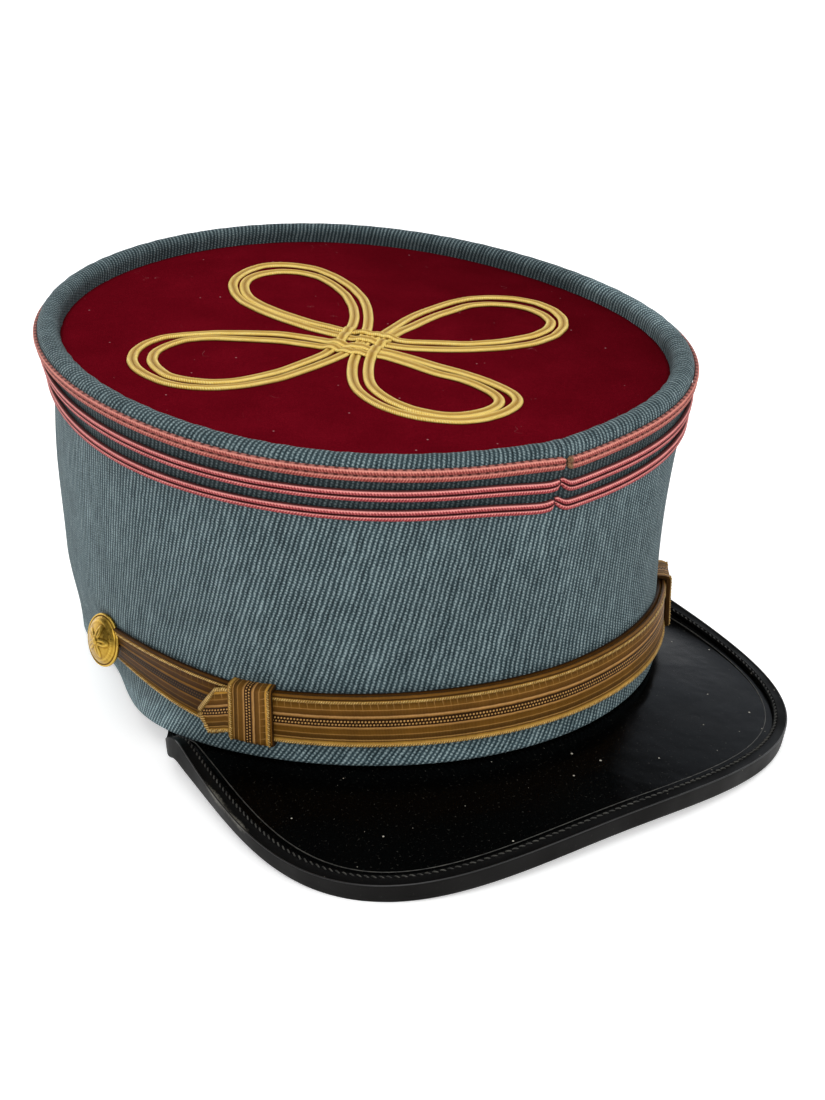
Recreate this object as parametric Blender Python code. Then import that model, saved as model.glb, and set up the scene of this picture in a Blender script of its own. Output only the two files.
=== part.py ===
# A kepi: an oval cap of blue-grey twill with a crimson top let into a rolled rim, a gold four-looped knot,
# three rows of coral soutache, a gold lace chin strap held by two brass buttons, and a square patent visor.
#
# The cap is drawn in its own frame and then leaned back until it stands on the hem's back and the visor's
# corners. In the cap's frame the hem is the plane z = 0, +X is the wearer's left and -Y is the front.
# A turn is an angle in degrees round the crown, 0 at the front centre and 90 on the wearer's left.
# All sizes are in metres.

import math

import bmesh
import bpy
from mathutils import Matrix, Vector

TOUCH_GAP = 0.0003
SHARP_ANGLE = 35.0

# The crown is worked out between two oval sections, the hem and the edge where the rim's roll begins.
SECTION_COLUMNS = ("half_width", "half_length", "square_width", "square_length", "egg", "skew", "saddle", "nod")
HEM_SECTION = (0.0852, 0.0980, -0.044, -0.051, -0.0019, 0.0, -0.0002, -0.0006)
RIM_SECTION = (0.0851, 0.0941, -0.002, 0.044, -0.0029, 0.0024, -0.0002, -0.0012)
RIM_CENTRE_BACK = -0.0195
RIM_CENTRE_HEIGHT = 0.0932
RIM_TILT = 11.24
WAIST_PULL = 0.0025
WAIST_SKEW = 0.85
SEAM_TURN = 2.2
SEAM_RIDGE = 0.0028
SEAM_SPREAD = 15.7
PINCH_DEPTH = 0.0103  # the hem draws in on both sides, behind the visor's ends
PINCH_TURN = 103.0
PINCH_SPREAD = 23.3
PINCH_RISE = 0.35
PINCH_FADE = 1.5

WALL_THICKNESS = 0.0024
ROLL_RADIUS = 0.00295
ROLL_LIFT = -0.0009
ROLL_ANGLES = (0, 36, 72, 108, 144, 180)
LEDGE_WIDTH = 0.0010
LEDGE_THICKNESS = 0.0010
WALL_RISES = (0.0, 0.14, 0.30, 0.50, 0.75, 0.92)
RING_SEGMENTS = 80

TOP_LIFT = -0.0029
TOP_INSET = 2 * ROLL_RADIUS + TOUCH_GAP
TOP_THICKNESS = 0.0018
TOP_SEGMENTS = 80
TOP_FLAT_SHARE = 0.5
TOP_RINGS = (0.5, 0.75, 1.0)

KNOT_CROSSING = (-0.0022, -0.0040)
KNOT_FIGURES = (
    # two figures of eight, each of two lobes: (tip_x, tip_y, half_width)
    {"front": (0.0028, -0.0562, 0.0172), "back": (0.0041, 0.0659, 0.0161)},
    {"right": (-0.0641, 0.0010, 0.0171), "left": (0.0596, -0.0026, 0.0167)},
)
CORD_WIDTH = 0.0026
CORD_TOP_WIDTH = 0.0016
CORD_HEIGHT = 0.0013
CORD_PITCH = 0.0037
CORD_PITCH_AT_TIP = 0.0045
CORD_TIP_SHARPNESS = 8
KNOT_STEPS = 56
KNOT_WEAVE = 0.00006
KNOT_BASE = 0.0001
CORE_SIDES = 8
CORE_LIFTS = (0.00024, 0.00078)

BRAID_NAMES = ("braid_upper", "braid_middle", "braid_lower")
BRAID_WIDTH = 0.0028
BRAID_THICKNESS = 0.0011
BRAID_PITCH = 0.0047
BRAID_PITCH_AT_SIDES = 0.0061
BRAID_START = 0.0

STRAP_WIDTH = 0.0136
STRAP_THICKNESS = 0.0010
STRAP_FRONT_HEIGHT = 0.0136
STRAP_BUTTON_HEIGHT = 0.0226
STRAP_RISE_TURN = 46.0
BUTTON_TURN = 86.0
STRAP_END = 0.0075
STRAP_END_STATION = 0.6
STRAP_END_BLUNTNESS = 0.06
TAIL_TURN = 58.0
TAIL_TAPER_TURN = 52.5
TAIL_TIP_WIDTH = 0.0016
LAYER_DROP_TURNS = (60.0, 67.0)

KEEPER_TURNS = (44.0, 53.0)
KEEPER_MARGIN = 0.0014
KEEPER_THICKNESS = 0.0010

BUTTON_RADIUS = 0.0076
BUTTON_PROFILE = (
    # share of the radius, height above the button's back; the dome's crown is the last height alone
    (0.94, 0.0), (1.0, 0.0005), (0.95, 0.0011), (0.86, 0.0010), (0.62, 0.00225), (0.32, 0.00315))
BUTTON_HEIGHT = 0.0036
BUTTON_SEGMENTS = 20
SHANK_RADIUS = 0.0015
SHANK_SEGMENTS = 12
DRILL_LENGTH = 0.012

VISOR_THICKNESS = 0.0028
VISOR_LIP = 0.0022
VISOR_ATTACH_TURN = 70.0
VISOR_HALF_WIDTH = 0.0790
VISOR_FRONT = 0.1318
VISOR_SQUARE_FROM = 0.0562
VISOR_SQUARENESS = {"right": 3.52, "left": 2.88}
VISOR_OFFSET = 0.0010
VISOR_END = 0.0297
VISOR_END_FLAT = 0.0048
VISOR_END_RUN = 0.0155
VISOR_TUCK = 0.0037  # the ends draw in under the hem
VISOR_TUCK_RUN = 0.0160
VISOR_TUCK_TURNS = (58.0, 70.0)
VISOR_END_INSET = 0.0062
VISOR_END_LIP_SHARE = 0.3
VISOR_LEAST_RUN = 0.012
VISOR_HEART = (0.0, -0.075, 0.0)
VISOR_SLOPE = 0.2175
VISOR_ARCH = 1.21
VISOR_SLOPE_FROM = 0.0988
VISOR_END_SINK = 0.0018
VISOR_SIDE_RISE = 0.0027
VISOR_STEPS = 44
VISOR_END_DENSITY = 0.4
VISOR_PROBE = 0.004

BINDING_THICKNESS = 0.0008
BINDING_REACH = 0.0050
BINDING_REACH_SHARE = 0.5
BINDING_ROUNDING = 75.0
NOSE_RADIUS = 0.0024
NOSE_ANGLES = (60, 30, 0, -30, -60)

MATERIALS = {
    # name: (colour as linear RGB, roughness, metallic)
    "twill": ((0.095, 0.155, 0.185), 0.92, 0.0),
    "crimson_cloth": ((0.165, 0.006, 0.014), 0.95, 0.0),
    "gold_cord": ((0.60, 0.40, 0.11), 0.45, 0.6),
    "coral_soutache": ((0.58, 0.13, 0.12), 0.6, 0.0),
    "gold_lace": ((0.27, 0.14, 0.035), 0.5, 0.5),
    "brass": ((0.62, 0.40, 0.10), 0.28, 1.0),
    "patent_leather": ((0.006, 0.006, 0.007), 0.12, 0.0),
}


def mix(low, high, share):
    return low + (high - low) * share


def smooth_step(share):
    share = min(max(share, 0.0), 1.0)
    return share * share * (3.0 - 2.0 * share)


# ---------------------------------------------------------------- the crown's surface


def section_at(rise):
    """The oval section's named sizes at a rise of 0 (hem) to 1 (start of the roll)."""
    return {
        name: mix(low, high, rise)
        for name, low, high in zip(SECTION_COLUMNS, HEM_SECTION, RIM_SECTION)
    }


def nape_rounding(turn, rise):
    """1 over the front and sides, falling to 0 at the back of the hem, which is a plain round oval."""
    behind = max(0.0, -math.cos(math.radians(turn)))
    return 1.0 - (1.0 - rise) * behind ** 2


def hem_pinch(turn, rise):
    """How far the sides draw in, at its most on the hem and gone a third of the way up."""
    fade = max(0.0, 1.0 - rise / PINCH_RISE) ** PINCH_FADE
    off_middle = (abs(signed_turn(turn)) - PINCH_TURN) / PINCH_SPREAD
    return PINCH_DEPTH * fade * math.exp(-off_middle ** 2)


def rim_axes(rise):
    """Backward and upward directions of the section, which tilts forward as it rises."""
    tilt = math.radians(RIM_TILT * rise)
    return Vector((0, math.cos(tilt), math.sin(tilt))), Vector((0, -math.sin(tilt), math.cos(tilt)))


def section_centre(rise):
    return Vector((0, RIM_CENTRE_BACK * rise, RIM_CENTRE_HEIGHT * rise))


def section_plan(turn, rise, inset):
    """Width and length coordinates on the section, pulled in at the waist and ridged at the front seam."""
    size = section_at(rise)
    angle = math.radians(turn)
    pull = WAIST_PULL * math.sin(math.pi * max(rise, 0.0) ** WAIST_SKEW) + inset
    width = size["half_width"] - pull
    length = size["half_length"] - pull
    square = nape_rounding(turn, rise)
    across = width * (math.sin(angle) - square * size["square_width"] * math.sin(3 * angle))
    across -= size["skew"] * math.sin(2 * angle) + hem_pinch(turn, rise) * math.sin(angle)
    along = length * (square * size["square_length"] * math.cos(3 * angle) - math.cos(angle))
    along -= size["egg"] * math.cos(2 * angle)
    off_seam = abs((turn - SEAM_TURN + 180) % 360 - 180)
    along -= SEAM_RIDGE * rise * math.exp(-off_seam / SEAM_SPREAD)
    return across, along


def section_warp(turn, rise):
    size = section_at(rise)
    angle = math.radians(turn)
    return size["nod"] * math.cos(3 * angle) - size["saddle"] * math.cos(2 * angle)


def crown_point(turn, rise, inset=0.0, lift=0.0):
    across, along = section_plan(turn, rise, inset)
    back, up = rim_axes(rise)
    lifted = section_warp(turn, rise) + lift
    return section_centre(rise) + Vector((across, 0, 0)) + back * along + up * lifted


def wall_height(turn):
    return (crown_point(turn, 1.0) - crown_point(turn, 0.0)).length


def wall_point(turn, above_hem, out):
    """A point a height up the wall from the hem and a distance out from the cloth."""
    return crown_point(turn, above_hem / wall_height(turn), -out)


def ring_turns(segments):
    """Turns round the crown, starting on the front seam."""
    return [SEAM_TURN + 360.0 * step / segments for step in range(segments)]


def signed_turn(turn):
    return (turn + 180.0) % 360.0 - 180.0


# ---------------------------------------------------------------- mesh helpers


def add_object(name, mesh, material):
    mesh.materials.append(material)
    part = bpy.data.objects.new(name, mesh)
    bpy.context.scene.collection.objects.link(part)
    return part


def add_sweep(solid, sections, closed=False):
    """Faces through a row of closed sections; open rows get end faces, closed ones join up."""
    rings = [[solid.verts.new(point) for point in section] for section in sections]
    count = len(rings[0])
    pairs = list(zip(rings, rings[1:]))
    if closed:
        pairs.append((rings[-1], rings[0]))
    for ring, following in pairs:
        for side in range(count):
            beside = (side + 1) % count
            solid.faces.new((ring[side], ring[beside], following[beside], following[side]))
    if not closed:
        solid.faces.new(rings[0])
        solid.faces.new(rings[-1])


def swept(name, sections, material, closed=False):
    solid = bmesh.new()
    add_sweep(solid, sections, closed)
    return finished(name, solid, material)


def finished(name, solid, material):
    bmesh.ops.recalc_face_normals(solid, faces=solid.faces)
    bmesh.ops.triangulate(solid, faces=solid.faces)
    mesh = bpy.data.meshes.new(name)
    solid.to_mesh(mesh)
    solid.free()
    mesh.shade_smooth()
    mesh.set_sharp_from_angle(angle=math.radians(SHARP_ANGLE))
    return add_object(name, mesh, material)


def make_materials():
    made = {}
    for name, (colour, roughness, metallic) in MATERIALS.items():
        material = bpy.data.materials.new(name)
        material.use_nodes = True
        shader = material.node_tree.nodes["Principled BSDF"]
        shader.inputs["Base Color"].default_value = (*colour, 1.0)
        shader.inputs["Roughness"].default_value = roughness
        shader.inputs["Metallic"].default_value = metallic
        made[name] = material
    return made


# ---------------------------------------------------------------- crown


def wall_section(turn):
    """The wall's cut at one turn: up the outside, over the roll, round the top's ledge, down the inside."""
    outside = [crown_point(turn, rise) for rise in WALL_RISES]
    roll = []
    for angle in ROLL_ANGLES:
        inset = ROLL_RADIUS * (1.0 - math.cos(math.radians(angle)))
        lift = ROLL_LIFT + ROLL_RADIUS * math.sin(math.radians(angle))
        roll.append(crown_point(turn, 1.0, inset, lift))
    ledge_top = TOP_LIFT - TOP_THICKNESS - TOUCH_GAP
    ledge = [crown_point(turn, 1.0, inset, lift) for inset, lift in (
        (2 * ROLL_RADIUS, ledge_top),
        (2 * ROLL_RADIUS + LEDGE_WIDTH, ledge_top),
        (2 * ROLL_RADIUS + LEDGE_WIDTH, ledge_top - LEDGE_THICKNESS))]
    inside = [crown_point(turn, rise, WALL_THICKNESS) for rise in reversed(WALL_RISES)]
    return outside + roll + ledge + inside


def make_crown_wall(material):
    return swept("crown_wall", [wall_section(turn) for turn in ring_turns(RING_SEGMENTS)], material, True)


def top_point(across, along, lift):
    """A point of the top's plane, which follows the rim's warp outside its flat middle."""
    size = section_at(1.0)
    width, length = size["half_width"] - TOP_INSET, size["half_length"] - TOP_INSET
    share = math.hypot(across / width, along / length)
    turn = math.degrees(math.atan2(across / width, -along / length))
    bent = min(max(0.0, (share - TOP_FLAT_SHARE) / (1.0 - TOP_FLAT_SHARE)), 1.0)
    warp = section_warp(turn, 1.0) * bent
    back, up = rim_axes(1.0)
    return section_centre(1.0) + Vector((across, 0, 0)) + back * along + up * (lift + warp)


def make_crown_top(material):
    solid = bmesh.new()
    faces = []
    for lift in (TOP_LIFT, TOP_LIFT - TOP_THICKNESS):
        rings = []
        for share in TOP_RINGS:
            ring = []
            for turn in ring_turns(TOP_SEGMENTS):
                across, along = section_plan(turn, 1.0, TOP_INSET)
                ring.append(solid.verts.new(top_point(across * share, along * share, lift)))
            rings.append(ring)
        faces.append(rings)
        solid.faces.new(rings[0])
        for ring, following in zip(rings, rings[1:]):
            bridge(solid, ring, following)
    bridge(solid, faces[0][-1], faces[1][-1])
    return finished("crown_top", solid, material)


def bridge(solid, ring, following):
    for side in range(len(ring)):
        beside = (side + 1) % len(ring)
        solid.faces.new((ring[side], ring[beside], following[beside], following[side]))


# ---------------------------------------------------------------- knot


def figure_point(lobes, angle):
    """A figure of eight: its first lobe is drawn for angles of 0 to 180, its second for 180 to 360."""
    tip_x, tip_y, half_width = lobes[0] if angle < 180 else lobes[1]
    crossing = Vector(KNOT_CROSSING)
    axis = Vector((tip_x, tip_y)) - crossing
    beside = Vector((-axis.y, axis.x)).normalized()
    bend = math.radians(angle)
    flip = 1.0 if angle < 180 else -1.0
    return crossing + axis * abs(math.sin(bend)) + beside * (half_width * math.sin(2 * bend) * flip)


def cord_sections(lobes, side, rank):
    """Trapezoid cuts of one cord of the pair, offset to the given side of the figure's middle line."""
    sections = []
    step = 360.0 / KNOT_STEPS
    for index in range(KNOT_STEPS):
        angle = step * (index + 0.5)
        here = figure_point(lobes, angle)
        ahead = figure_point(lobes, (angle + 0.5) % 360) - figure_point(lobes, (angle - 0.5) % 360)
        normal = Vector((-ahead.y, ahead.x)).normalized()
        pitch = mix(CORD_PITCH, CORD_PITCH_AT_TIP, abs(math.sin(math.radians(angle))) ** CORD_TIP_SHARPNESS)
        outward = 1.0 if angle < 180 else -1.0
        middle = here + normal * (side * outward * pitch / 2)
        rise = KNOT_WEAVE * (math.cos(math.radians(angle)) + 0.4 * rank)
        base = TOP_LIFT + TOUCH_GAP + KNOT_BASE + rise
        section = []
        for width, lift in ((-CORD_WIDTH, 0), (-CORD_TOP_WIDTH, CORD_HEIGHT),
                            (CORD_TOP_WIDTH, CORD_HEIGHT), (CORD_WIDTH, 0)):
            spot = middle + normal * (width / 2)
            section.append(top_point(spot.x, spot.y, base + lift))
        sections.append(section)
    return sections


def make_knot(material):
    """The knot's four cords as one body: where they cross they are fused."""
    solid = bmesh.new()
    rank = -1.5
    for lobes in KNOT_FIGURES:
        for side in (-1, 1):
            add_sweep(solid, cord_sections(list(lobes.values()), side, rank), True)
            rank += 1.0
    knot = finished("hungarian_knot", solid, material)
    core = knot_core(material)
    fuse = knot.modifiers.new("fuse", "BOOLEAN")
    fuse.operation = "UNION"
    fuse.solver = "EXACT"
    fuse.use_self = True
    fuse.object = core
    return knot


def knot_core(material):
    """A low disc within the crossing cords, which the union starts from."""
    solid = bmesh.new()
    rings = []
    for lift in CORE_LIFTS:
        ring = []
        for step in range(CORE_SIDES):
            angle = 2 * math.pi * step / CORE_SIDES
            x, y = KNOT_CROSSING
            x += CORD_WIDTH * math.cos(angle)
            y += CORD_WIDTH * math.sin(angle)
            ring.append(solid.verts.new(top_point(x, y, TOP_LIFT + TOUCH_GAP + lift)))
        rings.append(ring)
        solid.faces.new(ring)
    bridge(solid, *rings)
    core = finished("knot_core", solid, material)
    hide_guide(core)
    return core


# ---------------------------------------------------------------- braids


def make_braid(name, row, material):
    sections = []
    for turn in ring_turns(RING_SEGMENTS):
        spread = math.sin(math.radians(turn)) ** 2
        top_edge = BRAID_START + row * mix(BRAID_PITCH, BRAID_PITCH_AT_SIDES, spread)
        height = wall_height(turn)
        upper = height - top_edge
        lower = upper - BRAID_WIDTH
        sections.append([
            wall_point(turn, lower, TOUCH_GAP),
            wall_point(turn, upper, TOUCH_GAP),
            wall_point(turn, upper - BRAID_THICKNESS / 3, TOUCH_GAP + BRAID_THICKNESS),
            wall_point(turn, lower + BRAID_THICKNESS / 3, TOUCH_GAP + BRAID_THICKNESS),
        ])
    return swept(name, sections, material, True)


# ---------------------------------------------------------------- chin strap


def strap_height(turn):
    """Height of the strap's middle line above the hem."""
    climb = (abs(turn) - STRAP_RISE_TURN) / (BUTTON_TURN - STRAP_RISE_TURN)
    return mix(STRAP_FRONT_HEIGHT, STRAP_BUTTON_HEIGHT, smooth_step(climb))


def strap_section(turn, half_width, out):
    middle = strap_height(turn)
    return [
        wall_point(turn, middle - half_width, out),
        wall_point(turn, middle + half_width, out),
        wall_point(turn, middle + half_width, out + STRAP_THICKNESS),
        wall_point(turn, middle - half_width, out + STRAP_THICKNESS),
    ]


def end_turn():
    """The turn where a strap's round end finishes, past its button."""
    radius = wall_point(BUTTON_TURN, STRAP_BUTTON_HEIGHT, 0.0).xy.length
    return BUTTON_TURN + math.degrees(STRAP_END / radius)


def strap_turns(start, finish):
    """The crown's own turns that lie at least one degree within the strap's ends."""
    turns = sorted(signed_turn(turn) for turn in ring_turns(RING_SEGMENTS))
    return [turn for turn in turns if start + 1.0 < turn < finish - 1.0]


def strap_half_width(turn, tail_side):
    """Half the strap's width: round past the button, pointed at the tail."""
    past_button = (abs(turn) - BUTTON_TURN) / (end_turn() - BUTTON_TURN)
    if turn * tail_side < 0 and past_button > 0:
        return STRAP_WIDTH / 2 * math.sqrt(max(STRAP_END_BLUNTNESS, 1.0 - past_button ** 2))
    past_taper = (turn * tail_side - TAIL_TAPER_TURN) / (TAIL_TURN - TAIL_TAPER_TURN)
    return mix(STRAP_WIDTH, TAIL_TIP_WIDTH, min(max(past_taper, 0.0), 1.0)) / 2


def make_strap(name, tail_side, over, material):
    """One strap, from its button round to a pointed tail on the other side."""
    button_end = -tail_side * end_turn()
    tail_end = tail_side * TAIL_TURN
    start, finish = min(button_end, tail_end), max(button_end, tail_end)
    stations = [-tail_side * BUTTON_TURN, -tail_side * mix(BUTTON_TURN, end_turn(), STRAP_END_STATION),
                tail_side * TAIL_TAPER_TURN, start, finish]
    turns = sorted(set(strap_turns(start, finish) + stations))
    sections = []
    for turn in turns:
        out = TOUCH_GAP
        if over:
            first, last = LAYER_DROP_TURNS
            on_top = 1.0 - smooth_step((abs(turn) - first) / (last - first))
            if turn * tail_side > 0:
                on_top = 1.0
            out += on_top * (STRAP_THICKNESS + TOUCH_GAP)
        sections.append(strap_section(turn, strap_half_width(turn, tail_side), out))
    strap = swept(name, sections, material)
    drill_for_shank(strap, -tail_side)
    return strap


def button_frame(side):
    """The matrix of a button's seat on the cloth, with its Z axis straight out of the wall."""
    turn = side * BUTTON_TURN
    height = strap_height(turn)
    seat = wall_point(turn, height, 0.0)
    around = wall_point(turn + 1.0, height, 0.0) - wall_point(turn - 1.0, height, 0.0)
    upward = wall_point(turn, height + 0.002, 0.0) - wall_point(turn, height - 0.002, 0.0)
    outward = around.cross(upward).normalized()
    if outward.x * side < 0:
        outward.negate()
    across = upward.cross(outward).normalized()
    up = outward.cross(across)
    frame = Matrix((across, up, outward)).transposed().to_4x4()
    frame.translation = seat
    return frame


def drill_for_shank(strap, side):
    """The hole in a strap's round end that its button's shank goes through."""
    radius = SHANK_RADIUS + TOUCH_GAP
    cutter_mesh = bmesh.new()
    bmesh.ops.create_cone(cutter_mesh, cap_ends=True, segments=SHANK_SEGMENTS, radius1=radius,
                          radius2=radius, depth=DRILL_LENGTH, matrix=button_frame(side))
    mesh = bpy.data.meshes.new(strap.name + "_drill")
    cutter_mesh.to_mesh(mesh)
    cutter_mesh.free()
    cutter = bpy.data.objects.new(strap.name + "_drill", mesh)
    bpy.context.scene.collection.objects.link(cutter)
    hide_guide(cutter)
    cut = strap.modifiers.new("shank_hole", "BOOLEAN")
    cut.operation = "DIFFERENCE"
    cut.solver = "EXACT"
    cut.object = cutter


def hide_guide(guide):
    guide.hide_render = True
    guide.display_type = "WIRE"


def make_button(name, side, material):
    """A domed button turned about its shank."""
    back = TOUCH_GAP + STRAP_THICKNESS + TOUCH_GAP
    profile = [(0.0, TOUCH_GAP), (SHANK_RADIUS, TOUCH_GAP), (SHANK_RADIUS, back)]
    profile += [(BUTTON_RADIUS * share, back + height) for share, height in BUTTON_PROFILE]
    profile.append((0.0, back + BUTTON_HEIGHT))
    frame = button_frame(side)
    solid = bmesh.new()
    ends = [solid.verts.new(frame @ Vector((0, 0, height))) for radius, height in (profile[0], profile[-1])]
    rings = []
    for radius, height in profile[1:-1]:
        ring = []
        for step in range(BUTTON_SEGMENTS):
            angle = 2 * math.pi * step / BUTTON_SEGMENTS
            spot = Vector((radius * math.cos(angle), radius * math.sin(angle), height))
            ring.append(solid.verts.new(frame @ spot))
        rings.append(ring)
    for ring, following in zip(rings, rings[1:]):
        bridge(solid, ring, following)
    for end, ring in zip(ends, (rings[0], rings[-1])):
        for step in range(BUTTON_SEGMENTS):
            solid.faces.new((end, ring[step], ring[(step + 1) % BUTTON_SEGMENTS]))
    return finished(name, solid, material)


def make_keeper(name, side, material):
    """A loop of lace over both straps, its ends turned in to the cloth."""
    inner_out = TOUCH_GAP + 2 * (STRAP_THICKNESS + TOUCH_GAP)
    outer_out = inner_out + KEEPER_THICKNESS
    inner_half = STRAP_WIDTH / 2 + TOUCH_GAP
    outer_half = STRAP_WIDTH / 2 + KEEPER_MARGIN
    first, last = KEEPER_TURNS
    sections = []
    for turn in (side * first, side * mix(first, last, 1 / 3), side * mix(first, last, 2 / 3), side * last):
        middle = strap_height(turn)
        corners = ((outer_half, TOUCH_GAP), (outer_half, outer_out), (-outer_half, outer_out),
                   (-outer_half, TOUCH_GAP), (-inner_half, TOUCH_GAP), (-inner_half, inner_out),
                   (inner_half, inner_out), (inner_half, TOUCH_GAP))
        sections.append([wall_point(turn, middle + up, out) for up, out in corners])
    return swept(name, sections, material)


# ---------------------------------------------------------------- visor


def visor_nose(share):
    """Middle of the visor's edge at a share of -1 (right end) to 1 (left end), squared off at the corners."""
    reach = VISOR_FRONT - VISOR_SQUARE_FROM
    end_angle = math.pi / 2 + math.asin((VISOR_SQUARE_FROM - VISOR_END) / reach)
    angle = abs(share) * end_angle
    power = 2.0 / VISOR_SQUARENESS["left" if share > 0 else "right"]
    across = VISOR_HALF_WIDTH * abs(math.sin(angle)) ** power
    forward = VISOR_SQUARE_FROM
    if angle < math.pi / 2:
        forward += reach * math.cos(angle) ** power
    else:
        forward += reach * math.cos(angle)
    sloped = -VISOR_SLOPE * (forward - VISOR_SLOPE_FROM) - VISOR_ARCH * across ** 2
    off_end = smooth_step((forward - VISOR_END - VISOR_END_FLAT) / VISOR_END_RUN)
    level = mix(-VISOR_END_SINK, VISOR_SIDE_RISE, off_end)
    height = min(sloped, level) - plate_middle_drop()
    across -= VISOR_TUCK * (1.0 - smooth_step((forward - VISOR_END) / VISOR_TUCK_RUN))
    return Vector((math.copysign(across, share) + VISOR_OFFSET * off_end, -forward, height))


def plate_middle_drop():
    return TOUCH_GAP + VISOR_THICKNESS / 2


def visor_attach(share, lip):
    """Middle of the visor's thickness under the hem, drawn in and down at the ends."""
    turn = share * VISOR_ATTACH_TURN
    first, last = VISOR_TUCK_TURNS
    near_end = smooth_step((abs(turn) - first) / (last - first))
    point = crown_point(turn, 0.0, mix(lip, lip * VISOR_END_LIP_SHARE + VISOR_END_INSET, near_end))
    point.z -= plate_middle_drop() + VISOR_END_SINK * near_end
    return point


def visor_frame(share):
    """The attach point, nose point, outward direction and upward direction of one cut of the visor."""
    attach = visor_attach(share, 0.0)
    nose = visor_nose(share)
    along = visor_nose(min(share + VISOR_PROBE, 1.0)) - visor_nose(max(share - VISOR_PROBE, -1.0))
    along.normalize()
    level = Vector((along.y, -along.x, 0.0)).normalized()
    if level.dot(nose - Vector(VISOR_HEART)) < 0:
        level.negate()
    reach = nose - attach
    outward = Vector((level.x, level.y, reach.z / max(reach.xy.length, VISOR_LEAST_RUN)))
    outward = (outward - along * outward.dot(along)).normalized()
    up = outward.cross(along).normalized()
    if up.z < 0:
        up.negate()
    return attach, nose, outward, up


def visor_shares():
    """Shares of the visor's edge, closer together towards its ends."""
    even = [-1.0 + 2.0 * step / VISOR_STEPS for step in range(VISOR_STEPS + 1)]
    return [mix(share, math.sin(share * math.pi / 2), VISOR_END_DENSITY) for share in even]


def binding_reach(attach, nose, outward):
    return min(BINDING_REACH, BINDING_REACH_SHARE * (nose - attach).dot(outward))


def visor_section(share):
    attach, nose, outward, up = visor_frame(share)
    half = VISOR_THICKNESS / 2
    inner_edge = nose - outward * (binding_reach(attach, nose, outward) + TOUCH_GAP)
    rows = [(visor_attach(share, VISOR_LIP), Vector((0, 0, 1))), (attach, Vector((0, 0, 1)))]
    for step in (1 / 3, 2 / 3):
        middle = attach.lerp(inner_edge, step)
        middle.z = min(middle.z, mix(attach.z, inner_edge.z, step ** 2))
        rows.append((middle, Vector((0, 0, 1)).lerp(up, step).normalized()))
    rows.append((inner_edge, up))
    rows.append((nose + outward * (NOSE_RADIUS - BINDING_THICKNESS - TOUCH_GAP), up))
    upper = [middle + lift * half for middle, lift in rows]
    lower = [middle - lift * half for middle, lift in reversed(rows)]
    return upper + lower


def make_visor(material):
    return swept("visor", [visor_section(share) for share in visor_shares()], material)


def binding_section(share):
    """The binding's cut: in along the top, round the nose and back along the underside, then the inner face."""
    attach, nose, outward, up = visor_frame(share)
    reach = binding_reach(attach, nose, outward)
    inner_half = VISOR_THICKNESS / 2 + TOUCH_GAP
    outer_half = inner_half + BINDING_THICKNESS
    outline = [(-reach, outer_half)]
    for angle in NOSE_ANGLES:
        bend = math.radians(angle)
        lift = outer_half * math.sin(bend) / math.sin(math.radians(BINDING_ROUNDING))
        outline.append((NOSE_RADIUS * math.cos(bend), lift))
    outline.append((-reach, -outer_half))
    inner_nose = NOSE_RADIUS - BINDING_THICKNESS
    outline += [(-reach, -inner_half), (inner_nose, -inner_half), (inner_nose, inner_half), (-reach, inner_half)]
    return [nose + outward * out + up * lift for out, lift in outline]


def make_binding(material):
    return swept("visor_binding", [binding_section(share) for share in visor_shares()], material)


# ---------------------------------------------------------------- assembly


def stand_on_floor(parts):
    """Lean the cap on the hem's back and the visor's corners, with its box centred on the origin."""
    rest = bpy.data.objects.new("cap_frame", None)
    bpy.context.scene.collection.objects.link(rest)
    heel = crown_point(180.0, 0.0)
    lean = 0.0
    for part in parts:
        for vertex in part.data.vertices:
            if vertex.co.z < 0 and vertex.co.y < 0:
                lean = max(lean, math.atan2(-vertex.co.z, heel.y - vertex.co.y))
    turned = Matrix.Rotation(-lean, 4, "X")
    corners = [turned @ vertex.co for part in parts for vertex in part.data.vertices]
    low = [min(corner[axis] for corner in corners) for axis in range(3)]
    high = [max(corner[axis] for corner in corners) for axis in range(3)]
    centring = Matrix.Translation((-(low[0] + high[0]) / 2, -(low[1] + high[1]) / 2, -low[2]))
    rest.matrix_world = centring @ turned
    return rest


def main():
    for leftover in list(bpy.data.objects):
        bpy.data.objects.remove(leftover)
    materials = make_materials()
    parts = [
        make_crown_wall(materials["twill"]),
        make_crown_top(materials["crimson_cloth"]),
        make_knot(materials["gold_cord"]),
        *(make_braid(name, row, materials["coral_soutache"]) for row, name in enumerate(BRAID_NAMES)),
        make_strap("strap_back", 1, False, materials["gold_lace"]),
        make_strap("strap_front", -1, True, materials["gold_lace"]),
        make_keeper("keeper_right", -1, materials["gold_lace"]),
        make_keeper("keeper_left", 1, materials["gold_lace"]),
        make_button("button_right", -1, materials["brass"]),
        make_button("button_left", 1, materials["brass"]),
        make_visor(materials["patent_leather"]),
        make_binding(materials["patent_leather"]),
    ]
    rest = stand_on_floor(parts)
    for part in bpy.data.objects:
        if part is not rest:
            part.parent = rest


main()
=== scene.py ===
import math
import bpy
import numpy as np
from mathutils import Matrix


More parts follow.
